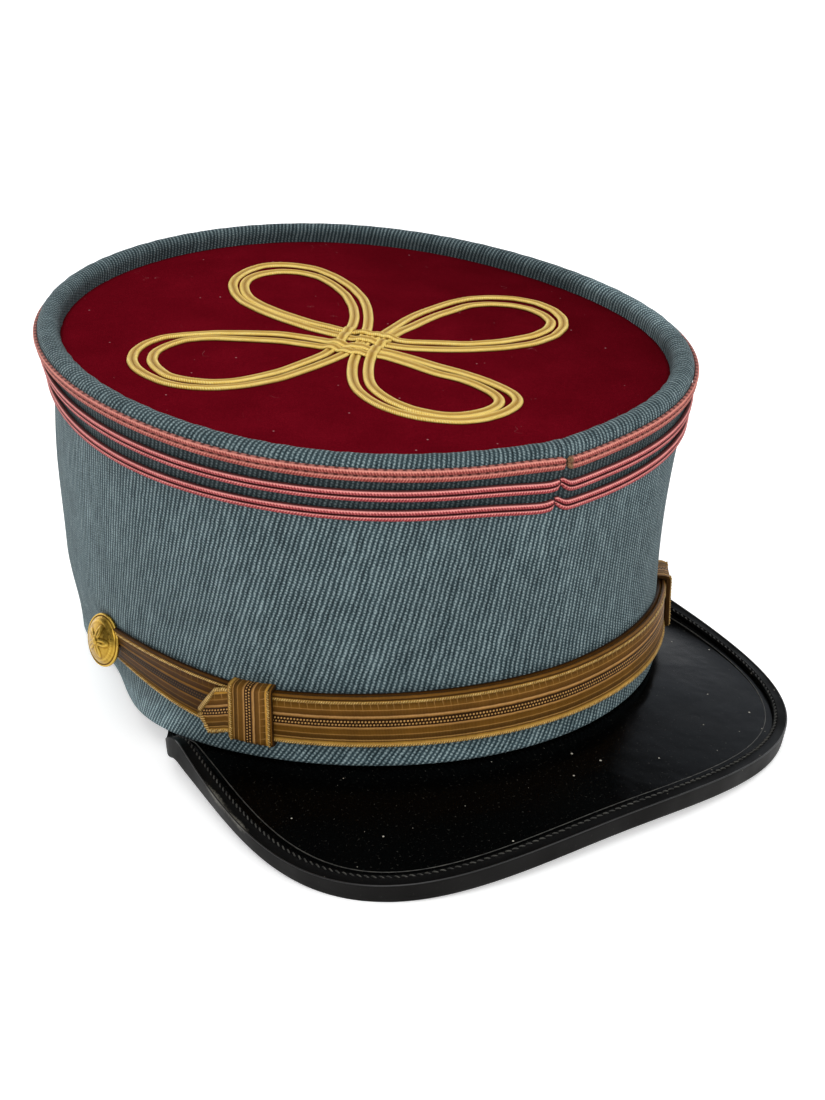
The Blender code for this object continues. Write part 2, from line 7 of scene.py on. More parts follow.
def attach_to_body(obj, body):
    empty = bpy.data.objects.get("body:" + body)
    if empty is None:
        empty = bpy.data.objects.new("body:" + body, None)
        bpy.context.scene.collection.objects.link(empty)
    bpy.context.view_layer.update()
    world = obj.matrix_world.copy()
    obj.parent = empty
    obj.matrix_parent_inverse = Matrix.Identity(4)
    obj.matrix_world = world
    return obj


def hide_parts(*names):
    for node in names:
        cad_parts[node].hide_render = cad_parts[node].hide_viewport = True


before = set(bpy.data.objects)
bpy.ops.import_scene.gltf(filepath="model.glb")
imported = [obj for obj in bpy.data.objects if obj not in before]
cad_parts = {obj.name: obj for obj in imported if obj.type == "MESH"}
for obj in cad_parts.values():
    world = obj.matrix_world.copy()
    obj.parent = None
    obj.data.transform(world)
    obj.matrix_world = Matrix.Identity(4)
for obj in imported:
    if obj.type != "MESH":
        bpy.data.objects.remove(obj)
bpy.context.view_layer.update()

# the cap is drawn in millimetres in its own frame, with the hem at z = 0 and the front at -Y,
# and then leaned back as the solids are
restTurn = np.array([[1, 0, 0], [0, 0.9981, 0.061611], [0, -0.061611, 0.9981]])
restShift = np.array([0.001, 17.389, 6.155])


def toRow(points):
    return (np.asarray(points, float) @ restTurn.T + restShift) * 0.001


def toLinear(code):
    parts = [int(code[i:i + 2], 16) / 255 for i in (1, 3, 5)]
    return (*[p / 12.92 if p <= 0.04045 else ((p + 0.055) / 1.055) ** 2.4 for p in parts], 1.0)


def smooth(share):
    share = np.clip(share, 0.0, 1.0)
    return share * share * (3 - 2 * share)


def signed(turn):
    return (np.asarray(turn, float) + 180) % 360 - 180


def unit(vectors):
    return vectors / np.maximum(np.linalg.norm(vectors, axis=-1, keepdims=True), 1e-12)


def lengthAlong(line):
    # how far along a line each of its points lies
    return np.concatenate([[0], np.cumsum(np.linalg.norm(np.diff(line, axis=0), axis=1))])


def closed(line):
    return np.vstack([line, line[:1]])


# the crown's surface, the same oval sections as the solids

hem = {"halfWidth": 85.2, "halfLength": 98.0, "squareWidth": -0.044, "squareLength": -0.051,
       "egg": -1.9, "skew": 0.0, "saddle": -0.2, "nod": -0.6}
rim = {"halfWidth": 85.1, "halfLength": 94.1, "squareWidth": -0.002, "squareLength": 0.044,
       "egg": -2.9, "skew": 2.4, "saddle": -0.2, "nod": -1.2}
crown = {"back": -19.5, "height": 93.2, "tilt": 11.24, "pull": 2.5, "waist": 0.85, "seamTurn": 2.2,
         "ridge": 2.8, "spread": 15.7, "thick": 2.4, "rollRadius": 2.95, "rollLift": -0.9,
         "topLift": -2.9, "topInset": 6.2}
# mm along the cloth: where the rolled rim starts and ends, and what the hem's fold takes
clothRun = {"rollFrom": 92.4, "rollTo": 101.6, "fold": 3.8}
# the wall is knocked in under the rim, behind at the wearer's right, and drawn in low down at both sides
dent = {"depth": 3.0, "turn": -126.0, "spread": 36.0, "rise": 0.87, "below": 0.18, "above": 0.13}
pinch = {"depth": 10.3, "turn": 103.0, "spread": 23.3, "rise": 0.35, "fade": 1.5}


def sizeAt(name, rise):
    return hem[name] + (rim[name] - hem[name]) * rise


def crownPlan(turn, rise, inset):
    angle = np.radians(turn)
    pull = crown["pull"] * np.sin(np.pi * np.maximum(rise, 0) ** crown["waist"]) + inset
    fromDent = (rise - dent["rise"]) / np.where(np.asarray(rise) < dent["rise"], dent["below"], dent["above"])
    pull = pull + dent["depth"] * np.exp(-fromDent ** 2 - (signed(turn - dent["turn"]) / dent["spread"]) ** 2)
    square = 1 - (1 - rise) * np.maximum(0, -np.cos(angle)) ** 2
    across = (sizeAt("halfWidth", rise) - pull) * (
        np.sin(angle) - square * sizeAt("squareWidth", rise) * np.sin(3 * angle))
    fade = np.maximum(0, 1 - rise / pinch["rise"]) ** pinch["fade"]
    drawn = pinch["depth"] * fade * np.exp(-((np.abs(signed(turn)) - pinch["turn"]) / pinch["spread"]) ** 2)
    across = across - sizeAt("skew", rise) * np.sin(2 * angle) - drawn * np.sin(angle)
    along = (sizeAt("halfLength", rise) - pull) * (
        square * sizeAt("squareLength", rise) * np.cos(3 * angle) - np.cos(angle))
    offSeam = np.abs(signed(turn - crown["seamTurn"]))
    ridge = crown["ridge"] * rise * np.exp(-offSeam / crown["spread"])
    along = along - sizeAt("egg", rise) * np.cos(2 * angle) - ridge
    return across, along


def crownWarp(turn, rise):
    angle = np.radians(turn)
    return sizeAt("nod", rise) * np.cos(3 * angle) - sizeAt("saddle", rise) * np.cos(2 * angle)


def raised(across, along, warp, rise):
    tilt = np.radians(crown["tilt"] * rise)
    return np.stack(np.broadcast_arrays(
        across, crown["back"] * rise + along * np.cos(tilt) - warp * np.sin(tilt),
        crown["height"] * rise + along * np.sin(tilt) + warp * np.cos(tilt)), -1)


def crownPoint(turn, rise, inset=0.0, lift=0.0):
    turn, rise = np.asarray(turn, float), np.asarray(rise, float)
    across, along = crownPlan(turn, rise, inset)
    return raised(across, along, crownWarp(turn, rise) + lift, rise)


def wallHeight(turn):
    return np.linalg.norm(crownPoint(turn, 1.0) - crownPoint(turn, 0.0), axis=-1)


def wallPoint(turn, aboveHem, out):
    return crownPoint(turn, aboveHem / wallHeight(turn), -out)


def topPoint(across, along, lift):
    across, along = np.asarray(across, float), np.asarray(along, float)
    width, length = rim["halfWidth"] - crown["topInset"], rim["halfLength"] - crown["topInset"]
    share = np.hypot(across / width, along / length)
    turn = np.degrees(np.arctan2(across / width, -along / length))
    bent = np.clip((share - 0.5) / 0.5, 0, 1)
    return raised(across, along, lift + crownWarp(turn, 1.0) * bent, 1.0)


# arc length round the middle of the wall, in mm from the front seam
girthTurns = crown["seamTurn"] + np.linspace(0, 360, 2881)
girthArc = lengthAlong(crownPoint(girthTurns, 0.5))


# mesh helpers

def addPiece(name, points, faces, uvs, material, slot=None, replaces=(), extraUvs=None, sharp=None):
    mesh = bpy.data.meshes.new(name)
    placed = toRow(points)
    placed[:, 2] = np.maximum(placed[:, 2], 0)  # nothing sinks into the table
    mesh.from_pydata(placed.tolist(), [], faces)
    for label, values in (("cloth", uvs), *((extraUvs or {}).items())):
        layer = mesh.uv_layers.new(name=label)
        layer.data.foreach_set("uv", np.asarray(values, np.float32).ravel())
    mesh.materials.append(material)
    mesh.shade_smooth()
    if sharp:
        mesh.set_sharp_from_angle(angle=math.radians(sharp))
    piece = bpy.data.objects.new(name, mesh)
    bpy.context.scene.collection.objects.link(piece)
    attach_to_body(piece, "root")
    if replaces:
        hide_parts(*replaces)
    return piece


def gridFaces(rows, columns, wrapRows=False, wrapColumns=False):
    # corner indices of the quads of a grid, for its points and for its one-longer uv grid
    rowStarts = np.arange(rows if wrapRows else rows - 1)
    columnStarts = np.arange(columns if wrapColumns else columns - 1)
    i, j = np.meshgrid(rowStarts, columnStarts, indexing="ij")
    corners = ((i, j), (i + 1, j), (i + 1, j + 1), (i, j + 1))
    spots = np.stack([(a % rows) * columns + b % columns for a, b in corners], -1).reshape(-1, 4)
    uvSpots = np.stack([a * (columns + wrapColumns) + b for a, b in corners], -1).reshape(-1, 4)
    return spots, uvSpots


def atCorners(uv, uvSpots):
    return uv.reshape(-1, 2)[uvSpots].reshape(-1, 2)


def gridPiece(name, points, uv, material, wrapRows=False, wrapColumns=False, caps=False, extra=None,
              flip=False, **more):
    rows, columns = points.shape[:2]
    spots, uvSpots = gridFaces(rows, columns, wrapRows, wrapColumns)
    if flip:
        spots, uvSpots = spots[:, ::-1], uvSpots[:, ::-1]
    uvs = atCorners(uv, uvSpots)
    extraUvs = {label: atCorners(values, uvSpots) for label, values in (extra or {}).items()}
    faces = spots.tolist()
    if caps:
        first = list(range(columns))
        last = [(rows - 1) * columns + k for k in range(columns)]
        for ring, row in ((first if flip else first[::-1], 0), (last[::-1] if flip else last, rows - 1)):
            faces.append(ring)
            uvs = np.vstack([uvs, [uv[row, k % columns] for k in ring]])
            for label, values in (extra or {}).items():
                ends = [values[row, k % columns] for k in ring]
                extraUvs[label] = np.vstack([extraUvs[label], ends])
    return addPiece(name, points.reshape(-1, 3), faces, uvs, material, extraUvs=extraUvs, **more)


def joinMeshes(parts):
    # parts are (points, faces, uvs per corner); gives one set of them
    points, faces, uvs, start = [], [], [], 0
    for spots, quads, corners in parts:
        points.append(spots)
        faces += (np.asarray(quads) + start).tolist()
        uvs.append(corners)
        start += len(spots)
    return np.vstack(points), faces, np.vstack(uvs)


# material helpers

def put(tree, kind, inputs=None, output=0, stops=None, **settings):
    node = tree.nodes.new("ShaderNode" + kind)
    for name, value in settings.items():
        setattr(node, name, value)
    if stops:
        ramp = node.color_ramp
        while len(ramp.elements) < len(stops):
            ramp.elements.new(1.0)
        for element, (place, colour) in zip(ramp.elements, stops):
            element.position = place
            element.color = toLinear(colour) if isinstance(colour, str) else (colour, colour, colour, 1)
    for name, value in (inputs or {}).items():
        if isinstance(value, bpy.types.NodeSocket):
            tree.links.new(value, node.inputs[name])
        else:
            node.inputs[name].default_value = value
    return node.outputs[output]


def newMaterial(name, **shader):
    material = bpy.data.materials.new(name)
    material.use_nodes = True
    tree = material.node_tree
    surface = tree.nodes["Principled BSDF"]
    for socket, value in shader.items():
        surface.inputs[socket.replace("_", " ")].default_value = value
    return material, tree, surface


def wire(tree, surface, **sockets):
    for name, value in sockets.items():
        tree.links.new(value, surface.inputs[name.replace("_", " ")])


def ripple(tree, place, period, wave="SINE"):
    # from 0 to 1 and back, once in each period
    turned = put(tree, "Math", {0: place, 1: 2 * math.pi / period}, operation="MULTIPLY")
    swing = put(tree, "Math", {0: turned}, operation=wave)
    return put(tree, "Math", {0: swing, 1: 0.5, 2: 0.5}, operation="MULTIPLY_ADD")


def summed(tree, base, *parts):
    # the base and, on top of it, each part times its share
    for part, share in parts:
        base = put(tree, "Math", {0: part, 1: share, 2: base}, operation="MULTIPLY_ADD")
    return base


eased = {"interpolation_type": "SMOOTHSTEP"}  # for a soft start and stop
coloured = {"output": 2, "data_type": "RGBA"}  # for a mix of two colours


# blue-grey wool twill
# ribs a little over a millimetre apart, each a row of thick threads that catch the light, dark between
twill = {"rib": 1.24, "ribLean": 11.5, "thread": 0.71, "threadLean": -61.7}


def makeTwill():
    material, tree, surface = newMaterial("wool_twill", Roughness=0.9, Sheen_Weight=0.14, Sheen_Roughness=0.5,
                                          Sheen_Tint=toLinear("#b9c8cc"), Specular_IOR_Level=0.15)
    uv = put(tree, "UVMap", uv_map="cloth")
    lean, cross = math.radians(twill["ribLean"]), math.radians(twill["threadLean"])
    ribWay = (math.cos(lean) / twill["rib"], -math.sin(lean) / twill["rib"], 0)
    alongWay = (math.sin(lean), math.cos(lean), 0)
    threadWay = (math.cos(cross) / twill["thread"], -math.sin(cross) / twill["thread"], 0)
    wander = put(tree, "TexNoise", {"Vector": uv, "Scale": 0.22, "Detail": 3.0, "Roughness": 0.6})
    wander = put(tree, "Math", {0: wander, 1: 0.6, 2: -0.3}, operation="MULTIPLY_ADD")
    phase = put(tree, "VectorMath", {0: uv, 1: ribWay}, output="Value", operation="DOT_PRODUCT")
    phase = put(tree, "Math", {0: phase, 1: wander}, operation="ADD")
    ribId = put(tree, "Math", {0: phase}, operation="FLOOR")
    swing = put(tree, "Math", {0: phase, 1: 2 * math.pi}, operation="MULTIPLY")
    swing = put(tree, "Math", {0: swing}, operation="COSINE")
    rib = put(tree, "Math", {0: swing, 1: -0.5, 2: 0.5}, operation="MULTIPLY_ADD")
    thread = put(tree, "VectorMath", {0: uv, 1: threadWay}, output="Value", operation="DOT_PRODUCT")
    jitter = put(tree, "TexNoise", {"Vector": uv, "Scale": 0.9, "Detail": 2.0})
    thread = put(tree, "Math", {0: jitter, 1: 0.6, 2: thread}, operation="MULTIPLY_ADD")
    thread = ripple(tree, thread, 1, "COSINE")
    # light and dark lengths along each rib
    along = put(tree, "VectorMath", {0: uv, 1: alongWay}, output="Value", operation="DOT_PRODUCT")
    slow = put(tree, "Math", {0: along, 1: 0.11}, operation="MULTIPLY")
    own = put(tree, "Math", {0: ribId, 1: 7.31}, operation="MULTIPLY")
    streakPlace = put(tree, "CombineXYZ", {"X": own, "Y": slow})
    streak = put(tree, "TexNoise", {"Vector": streakPlace, "Scale": 1.0, "Detail": 3.0, "Roughness": 0.65})
    fleck = put(tree, "TexNoise", {"Vector": uv, "Scale": 2.3, "Detail": 3.0, "Roughness": 0.75})
    height = put(tree, "Math", {0: thread, 1: 0.55, 2: 0.45}, operation="MULTIPLY_ADD")
    rib = put(tree, "Math", {0: rib, 1: 1.1}, operation="POWER")
    height = put(tree, "Math", {0: rib, 1: height}, operation="MULTIPLY")
    tone = summed(tree, -0.30, (height, 0.50), (streak, 0.45), (fleck, 0.95))
    colour = put(tree, "ValToRGB", {"Fac": tone},
                 stops=((0.08, "#070b0e"), (0.33, "#1a2529"), (0.58, "#425459"), (0.90, "#92a3a5")))
    blotchAndPaintedLight = put(tree, "TexNoise", {"Vector": uv, "Scale": 0.035, "Detail": 2.0})
    blotchAndPaintedLight = put(tree, "Math", {0: blotchAndPaintedLight, 1: 0.5, 2: 0.77}, operation="MULTIPLY_ADD")
    # painted light: the folded hem is painted paler, lifting the shade that falls on it
    atHem = put(tree, "SeparateXYZ", {0: uv}, output="Y")
    atHem = put(tree, "MapRange", {"Value": atHem, 1: 10.0, 2: 4.0, 3: 1.0, 4: 1.6}, **eased)
    blotchAndPaintedLight = put(tree, "Math", {0: blotchAndPaintedLight, 1: atHem}, operation="MULTIPLY")
    # painted sheen: the wall is painted paler around the wearer's left side
    around = put(tree, "SeparateXYZ", {0: uv}, output="X")
    around = put(tree, "Math", {0: around, 1: 118.0}, operation="SUBTRACT")
    around = put(tree, "Math", {0: around}, operation="ABSOLUTE")
    toneMask = put(tree, "MapRange", {"Value": around, 1: 32.0, 2: 14.0, 3: 1.0, 4: 1.7}, **eased)
    blotchAndPaintedLight = put(tree, "Math", {0: blotchAndPaintedLight, 1: toneMask}, operation="MULTIPLY")
    colour = put(tree, "VectorMath", {0: colour, "Scale": blotchAndPaintedLight}, operation="SCALE")
    # painted shade: the cloth between the braids is darkened as it lies in their shade, and the rolled rim too
    rows = put(tree, "SeparateXYZ", {0: put(tree, "UVMap", uv_map="rows")})
    start = put(tree, "MapRange", {"Value": rows, 1: 0.15, 2: 0.45, 3: 0.0, 4: 1.0}, **eased)
    stop = put(tree, "MapRange", {"Value": rows, 1: 2.15, 2: 2.4, 3: 1.0, 4: 0.0}, **eased)
    shade = put(tree, "Math", {0: start, 1: stop}, operation="MULTIPLY")
    shade = put(tree, "Math", {0: shade, 1: 0.66}, operation="MULTIPLY")
    colour = put(tree, "Mix", {0: shade, 6: colour, 7: toLinear("#16191a")}, **coloured)
    # painted shade: the rolled rim is darkened, its inner half more so
    rolled = put(tree, "MapRange", {"Value": rows, 1: -0.05, 2: -0.5, 3: 0.0, 4: 0.16}, **eased)
    colour = put(tree, "Mix", {0: rolled, 6: colour, 7: toLinear("#15181a")}, **coloured)
    innerRimShade = put(tree, "MapRange", {"Value": rows, 1: -0.75, 2: -1.6, 3: 0.0, 4: 0.30}, **eased)
    colour = put(tree, "Mix", {0: innerRimShade, 6: colour, 7: toLinear("#15181a")}, **coloured)
    fuzz = put(tree, "Math", {0: fleck, 1: 0.35, 2: height}, operation="MULTIPLY_ADD")
    bump = put(tree, "Bump", {"Strength": 1.0, "Distance": 0.00020, "Height": fuzz})
    wire(tree, surface, Base_Color=colour, Normal=bump)
    return material


twillCloth = makeTwill()


# mm between the rows in front and at the sides, how much closer they run at the dent, and what each row drops by
# left of the seam; that fades out from the first turn over the next so many degrees
rowGap = {"front": 4.7, "side": 6.1, "closer": 0.22, "leftDrop": (1.0, 2.0, 1.8), "fades": (32.0, 55.0)}


def rowDrop(turn, row, left=None):
    # how far a row's upper edge lies below the rim's start; the rows part company left of the seam
    turn = signed(turn)
    even = rowGap["front"] + (rowGap["side"] - rowGap["front"]) * np.sin(np.radians(turn)) ** 2
    even = even * (1 - rowGap["closer"] * np.exp(-((turn + 118) / 22) ** 2))
    left = smooth((turn - 1.0) / 2.0) if left is None else left
    onward = np.where(turn < -90, turn + 360, turn)
    fadeFrom, fadeOver = rowGap["fades"]
    wide = left * (1 - smooth((onward - fadeFrom) / fadeOver))
    atDent = 0.8 * np.exp(-((turn + 130) / 28) ** 2)
    return row * even + wide * np.interp(row, (0, 1, 2), rowGap["leftDrop"]) + atDent


def rowPitch(turn):
    return rowDrop(turn, 2.0) / 2


def turnsAt(arc):
    return np.interp(arc % girthArc[-1], girthArc, girthTurns) + 360.0 * np.floor(arc / girthArc[-1])


def makeCrown():
    aroundCount = 720
    turns = crown["seamTurn"] + np.arange(aroundCount + 1) * 360 / aroundCount
    hemRadius = crown["thick"] / 2
    profile = []  # (rise, inset, lift, mm along the cloth)
    for height in (14.0, 9.0, 4.0, 1.8):
        profile.append((height / crown["height"], crown["thick"], 0.0, -height))
    for angle in range(180, -1, -30):
        bend = math.radians(angle)
        profile.append(((hemRadius - hemRadius * math.sin(bend)) / crown["height"],
                        hemRadius * (1 - math.cos(bend)), 0.0, hemRadius - angle / 180 * clothRun["fold"]))
    profile += [(rise, 0.0, 0.0, rise * crown["height"]) for rise in np.linspace(0.022, 0.984, 64)]
    for angle in np.linspace(0, 180, 17):
        bend = math.radians(angle)
        profile.append((1.0, crown["rollRadius"] * (1 - math.cos(bend)),
                        crown["rollLift"] + crown["rollRadius"] * math.sin(bend),
                        clothRun["rollFrom"] + crown["rollRadius"] * bend))
    for drop in (1.0, 2.4, 3.8):
        profile.append((1.0, 2 * crown["rollRadius"], crown["rollLift"] - drop, clothRun["rollTo"] + drop))
    rise, inset, lift, along = (np.array(column) for column in zip(*profile))
    grid = turns[:, None]
    # the cloth is a little slack: soft waves round the wall, a crease beside the front seam
    angle = np.radians(grid)
    body = np.sin(np.pi * np.clip(rise, 0, 1)) ** 0.7
    waves = 0.22 * np.sin(5 * angle + 1.3 + 2.2 * rise) + 0.16 * np.sin(9 * angle - 2.0 * rise)
    waves = waves + 0.10 * np.sin(17 * angle + 3.1 * rise)
    onRim = smooth((along - clothRun["rollFrom"]) / 4)
    puckers = 0.10 * np.sin(61 * angle + 1.7 * np.sin(7 * angle)) + 0.07 * np.sin(97 * angle)
    seamDip = 0.55 * np.exp(-(signed(grid - crown["seamTurn"]) / 0.7) ** 2)
    pushed = inset + body * waves + onRim * (puckers + seamDip)
    points = crownPoint(grid, rise, pushed, lift)
    height = wallHeight(turns)[:, None]
    across = np.repeat(girthArc[::4][:, None], len(rise), 1)
    onWall = along < clothRun["rollFrom"]
    span = np.where(onWall, along * height / crown["height"], along + height - crown["height"])
    fromRim = span - height
    uv = np.stack([across, span], -1)
    rows = np.stack([-fromRim / rowPitch(turns)[:, None], across], -1)
    # the cloth was stretched askew along the hem in front, so its ribs lean more there
    front = 1 - smooth((np.abs(signed(turns)) - 80) / 25)
    uv[..., 0] -= 0.30 * front[:, None] * np.minimum(span - 11.0, 0.0)
    cloth = gridPiece("crown_cloth", points[:-1], uv, twillCloth, wrapRows=True, extra={"rows": rows},
                      slot="twill", replaces=["crown_wall"])
    # its run in mm: the wall, the fold's radius, the part turned up inside, the fold, and over the roll
    # the wall's inner face, plain, and the ledge that the top lies on
    # (rise, inset, lift)
    inner = [(0.1, 2.4, 0.0), (0.3, 2.5, 0.0), (0.5, 2.5, 0.0), (0.75, 2.5, 0.0), (0.92, 2.5, 0.0),
             (1.0, 6.9, -6.0), (1.0, 6.9, -5.1), (1.0, 5.9, -5.0)]
    rise, inset, lift = (np.array(column) for column in zip(*inner))
    coarse = turns[::3]
    points = crownPoint(coarse[:, None], rise, inset, lift)
    across = np.repeat(girthArc[::12][:, None], len(rise), 1)
    uv = np.stack([across, np.broadcast_to(rise * crown["height"], across.shape)], -1)
    rows = np.stack([np.full(across.shape, 9.0), across], -1)
    gridPiece("crown_inside", points[:-1], uv, twillCloth, wrapRows=True, extra={"rows": rows}, flip=True,
              slot="twill", replaces=["crown_wall"])


makeCrown()
print("crown cloth made")


# crimson cloth top
# a fulled wool broadcloth: short matted nap, no weave to be seen, a few pale fibres caught in it
felt = {"nap": 3.2, "mottle": 0.06}


def makeFelt():
    material, tree, surface = newMaterial("crimson_broadcloth", Roughness=0.95, Sheen_Weight=0.03,
                                          Sheen_Roughness=0.4, Sheen_Tint=toLinear("#b01c30"),
                                          Specular_IOR_Level=0.0)
    uv = put(tree, "UVMap", uv_map="cloth")
    nap = put(tree, "TexNoise", {"Vector": uv, "Scale": felt["nap"], "Detail": 4.0, "Roughness": 0.75})
    mottle = put(tree, "TexNoise", {"Vector": uv, "Scale": felt["mottle"], "Detail": 3.0})
    hairs = put(tree, "TexNoise",
                {"Vector": uv, "Scale": 1.1, "Detail": 5.0, "Roughness": 0.8, "Distortion": 1.6})
    # painted shade: the top is painted darker towards the wearer's left side
    sideShade = put(tree, "SeparateXYZ", {0: uv}, output="X")
    sideShade = put(tree, "MapRange", {"Value": sideShade, 1: -5.0, 2: 80.0, 3: 0.87, 4: 0.58}, **eased)
    tone = summed(tree, -0.25, (nap, 0.75), (mottle, 0.25), (hairs, 0.50))
    colour = put(tree, "ValToRGB", {"Fac": tone}, stops=((0.2, "#3d0209"), (0.5, "#640714"), (0.8, "#8a1424")))
    colour = put(tree, "VectorMath", {0: colour, "Scale": sideShade}, operation="SCALE")
    speck = put(tree, "TexVoronoi", {"Vector": uv, "Scale": 0.16, "Randomness": 1.0}, feature="F1")
    speck = put(tree, "MapRange", {"Value": speck, 1: 0.05, 2: 0.02, 3: 0.0, 4: 0.6})
    # short pale hairs lying in the nap
    bent = put(tree, "TexNoise", {"Vector": uv, "Scale": 0.25, "Detail": 1.0}, output="Color")
    bent = put(tree, "VectorMath", {0: bent, "Scale": 9.0}, operation="SCALE")
    bent = put(tree, "VectorMath", {0: uv, 1: bent}, operation="ADD")
    strand = put(tree, "VectorMath", {0: bent, 1: (0.9, 0.06, 0)}, operation="MULTIPLY")
    strand = put(tree, "TexVoronoi", {"Vector": strand, "Scale": 0.55, "Randomness": 1.0}, feature="F1")
    strand = put(tree, "MapRange", {"Value": strand, 1: 0.050, 2: 0.020, 3: 0.0, 4: 0.22})
    speck = put(tree, "Math", {0: speck, 1: strand}, operation="MAXIMUM")
    colour = put(tree, "Mix", {0: speck, 6: colour, 7: toLinear("#c9959a")}, **coloured)
    bump = put(tree, "Bump", {"Strength": 0.55, "Distance": 0.00022, "Height": nap})
    wire(tree, surface, Base_Color=colour, Normal=bump)
    return material


crimsonCloth = makeFelt()


def makeTop():
    turns = crown["seamTurn"] + np.arange(360)
    shares = np.concatenate([np.linspace(0.02, 0.9, 34), np.linspace(0.915, 1.0, 8)])
    across, along = crownPlan(turns, 1.0, crown["topInset"] - 0.25)
    x = across[:, None] * shares
    y = along[:, None] * shares
    angle = np.radians(turns)[:, None]
    # pulled flat over its board, drawn down a hair where the rim grips it
    sway = 0.10 * np.sin(x / 13 + 0.4) * np.sin(y / 17 + 1.0)
    sway = sway + 0.05 * np.sin(23 * angle) * smooth((shares - 0.85) / 0.15)
    sag = -0.25 * smooth((shares - 0.93) / 0.07)
    points = topPoint(x, y, crown["topLift"] + sway * (1 - shares ** 6) + sag)
    middle = topPoint(0.0, 0.0, crown["topLift"])
    skirt = topPoint(x[:, -1], y[:, -1], crown["topLift"] - 1.6)
    points = np.concatenate([points, skirt[:, None]], 1)
    spread = np.stack([np.concatenate([x, x[:, -1:] * 1.02], 1), np.concatenate([y, y[:, -1:] * 1.02], 1)], -1)
    rows, columns = points.shape[:2]
    spots, _ = gridFaces(rows, columns, wrapRows=True)
    flatUv = spread.reshape(-1, 2)
    uvs = atCorners(spread, spots)
    faces = spots.tolist()
    hub = rows * columns
    fan = [[hub, i * columns, ((i + 1) % rows) * columns] for i in range(rows)]
    fanUv = np.array([[(0.0, 0.0), flatUv[a], flatUv[b]] for _, a, b in fan]).reshape(-1, 2)
    everything = np.vstack([points.reshape(-1, 3), middle[None]])
    top = addPiece("crown_top_cloth", everything, faces + fan, np.vstack([uvs, fanUv]), crimsonCloth,
                   slot="crimson_cloth", replaces=["crown_top"])


makeTop()
print("top made")


# cords: flat braid of two round ribs with a groove between them
# the uv runs along the braid and, across it, from -1 at one edge to 1 at the other

def twoRibSection(width, height, perRib=7, underside=0.0):
    # (across, up, side share) of the section, from the left foot over both ribs to the right foot
    rib = width / 4
    section = []
    for middle, low in ((-rib, 0), (rib, 1)):
        for step in range(low, perRib):
            bend = math.pi * (1 - step / (perRib - 1))
            up = height * (0.30 + 0.70 * math.sin(bend)) if 0 < step < perRib - 1 else (
                height * 0.38 if (low, step) in ((0, perRib - 1), (1, 0)) else height * 0.12)
            section.append((middle + rib * math.cos(bend), up, (middle + rib * math.cos(bend)) / (width / 2)))
    section.append((width / 2 * 0.9, underside, 1.0))
    section.append((-width / 2 * 0.9, underside, -1.0))
    return np.array(section)


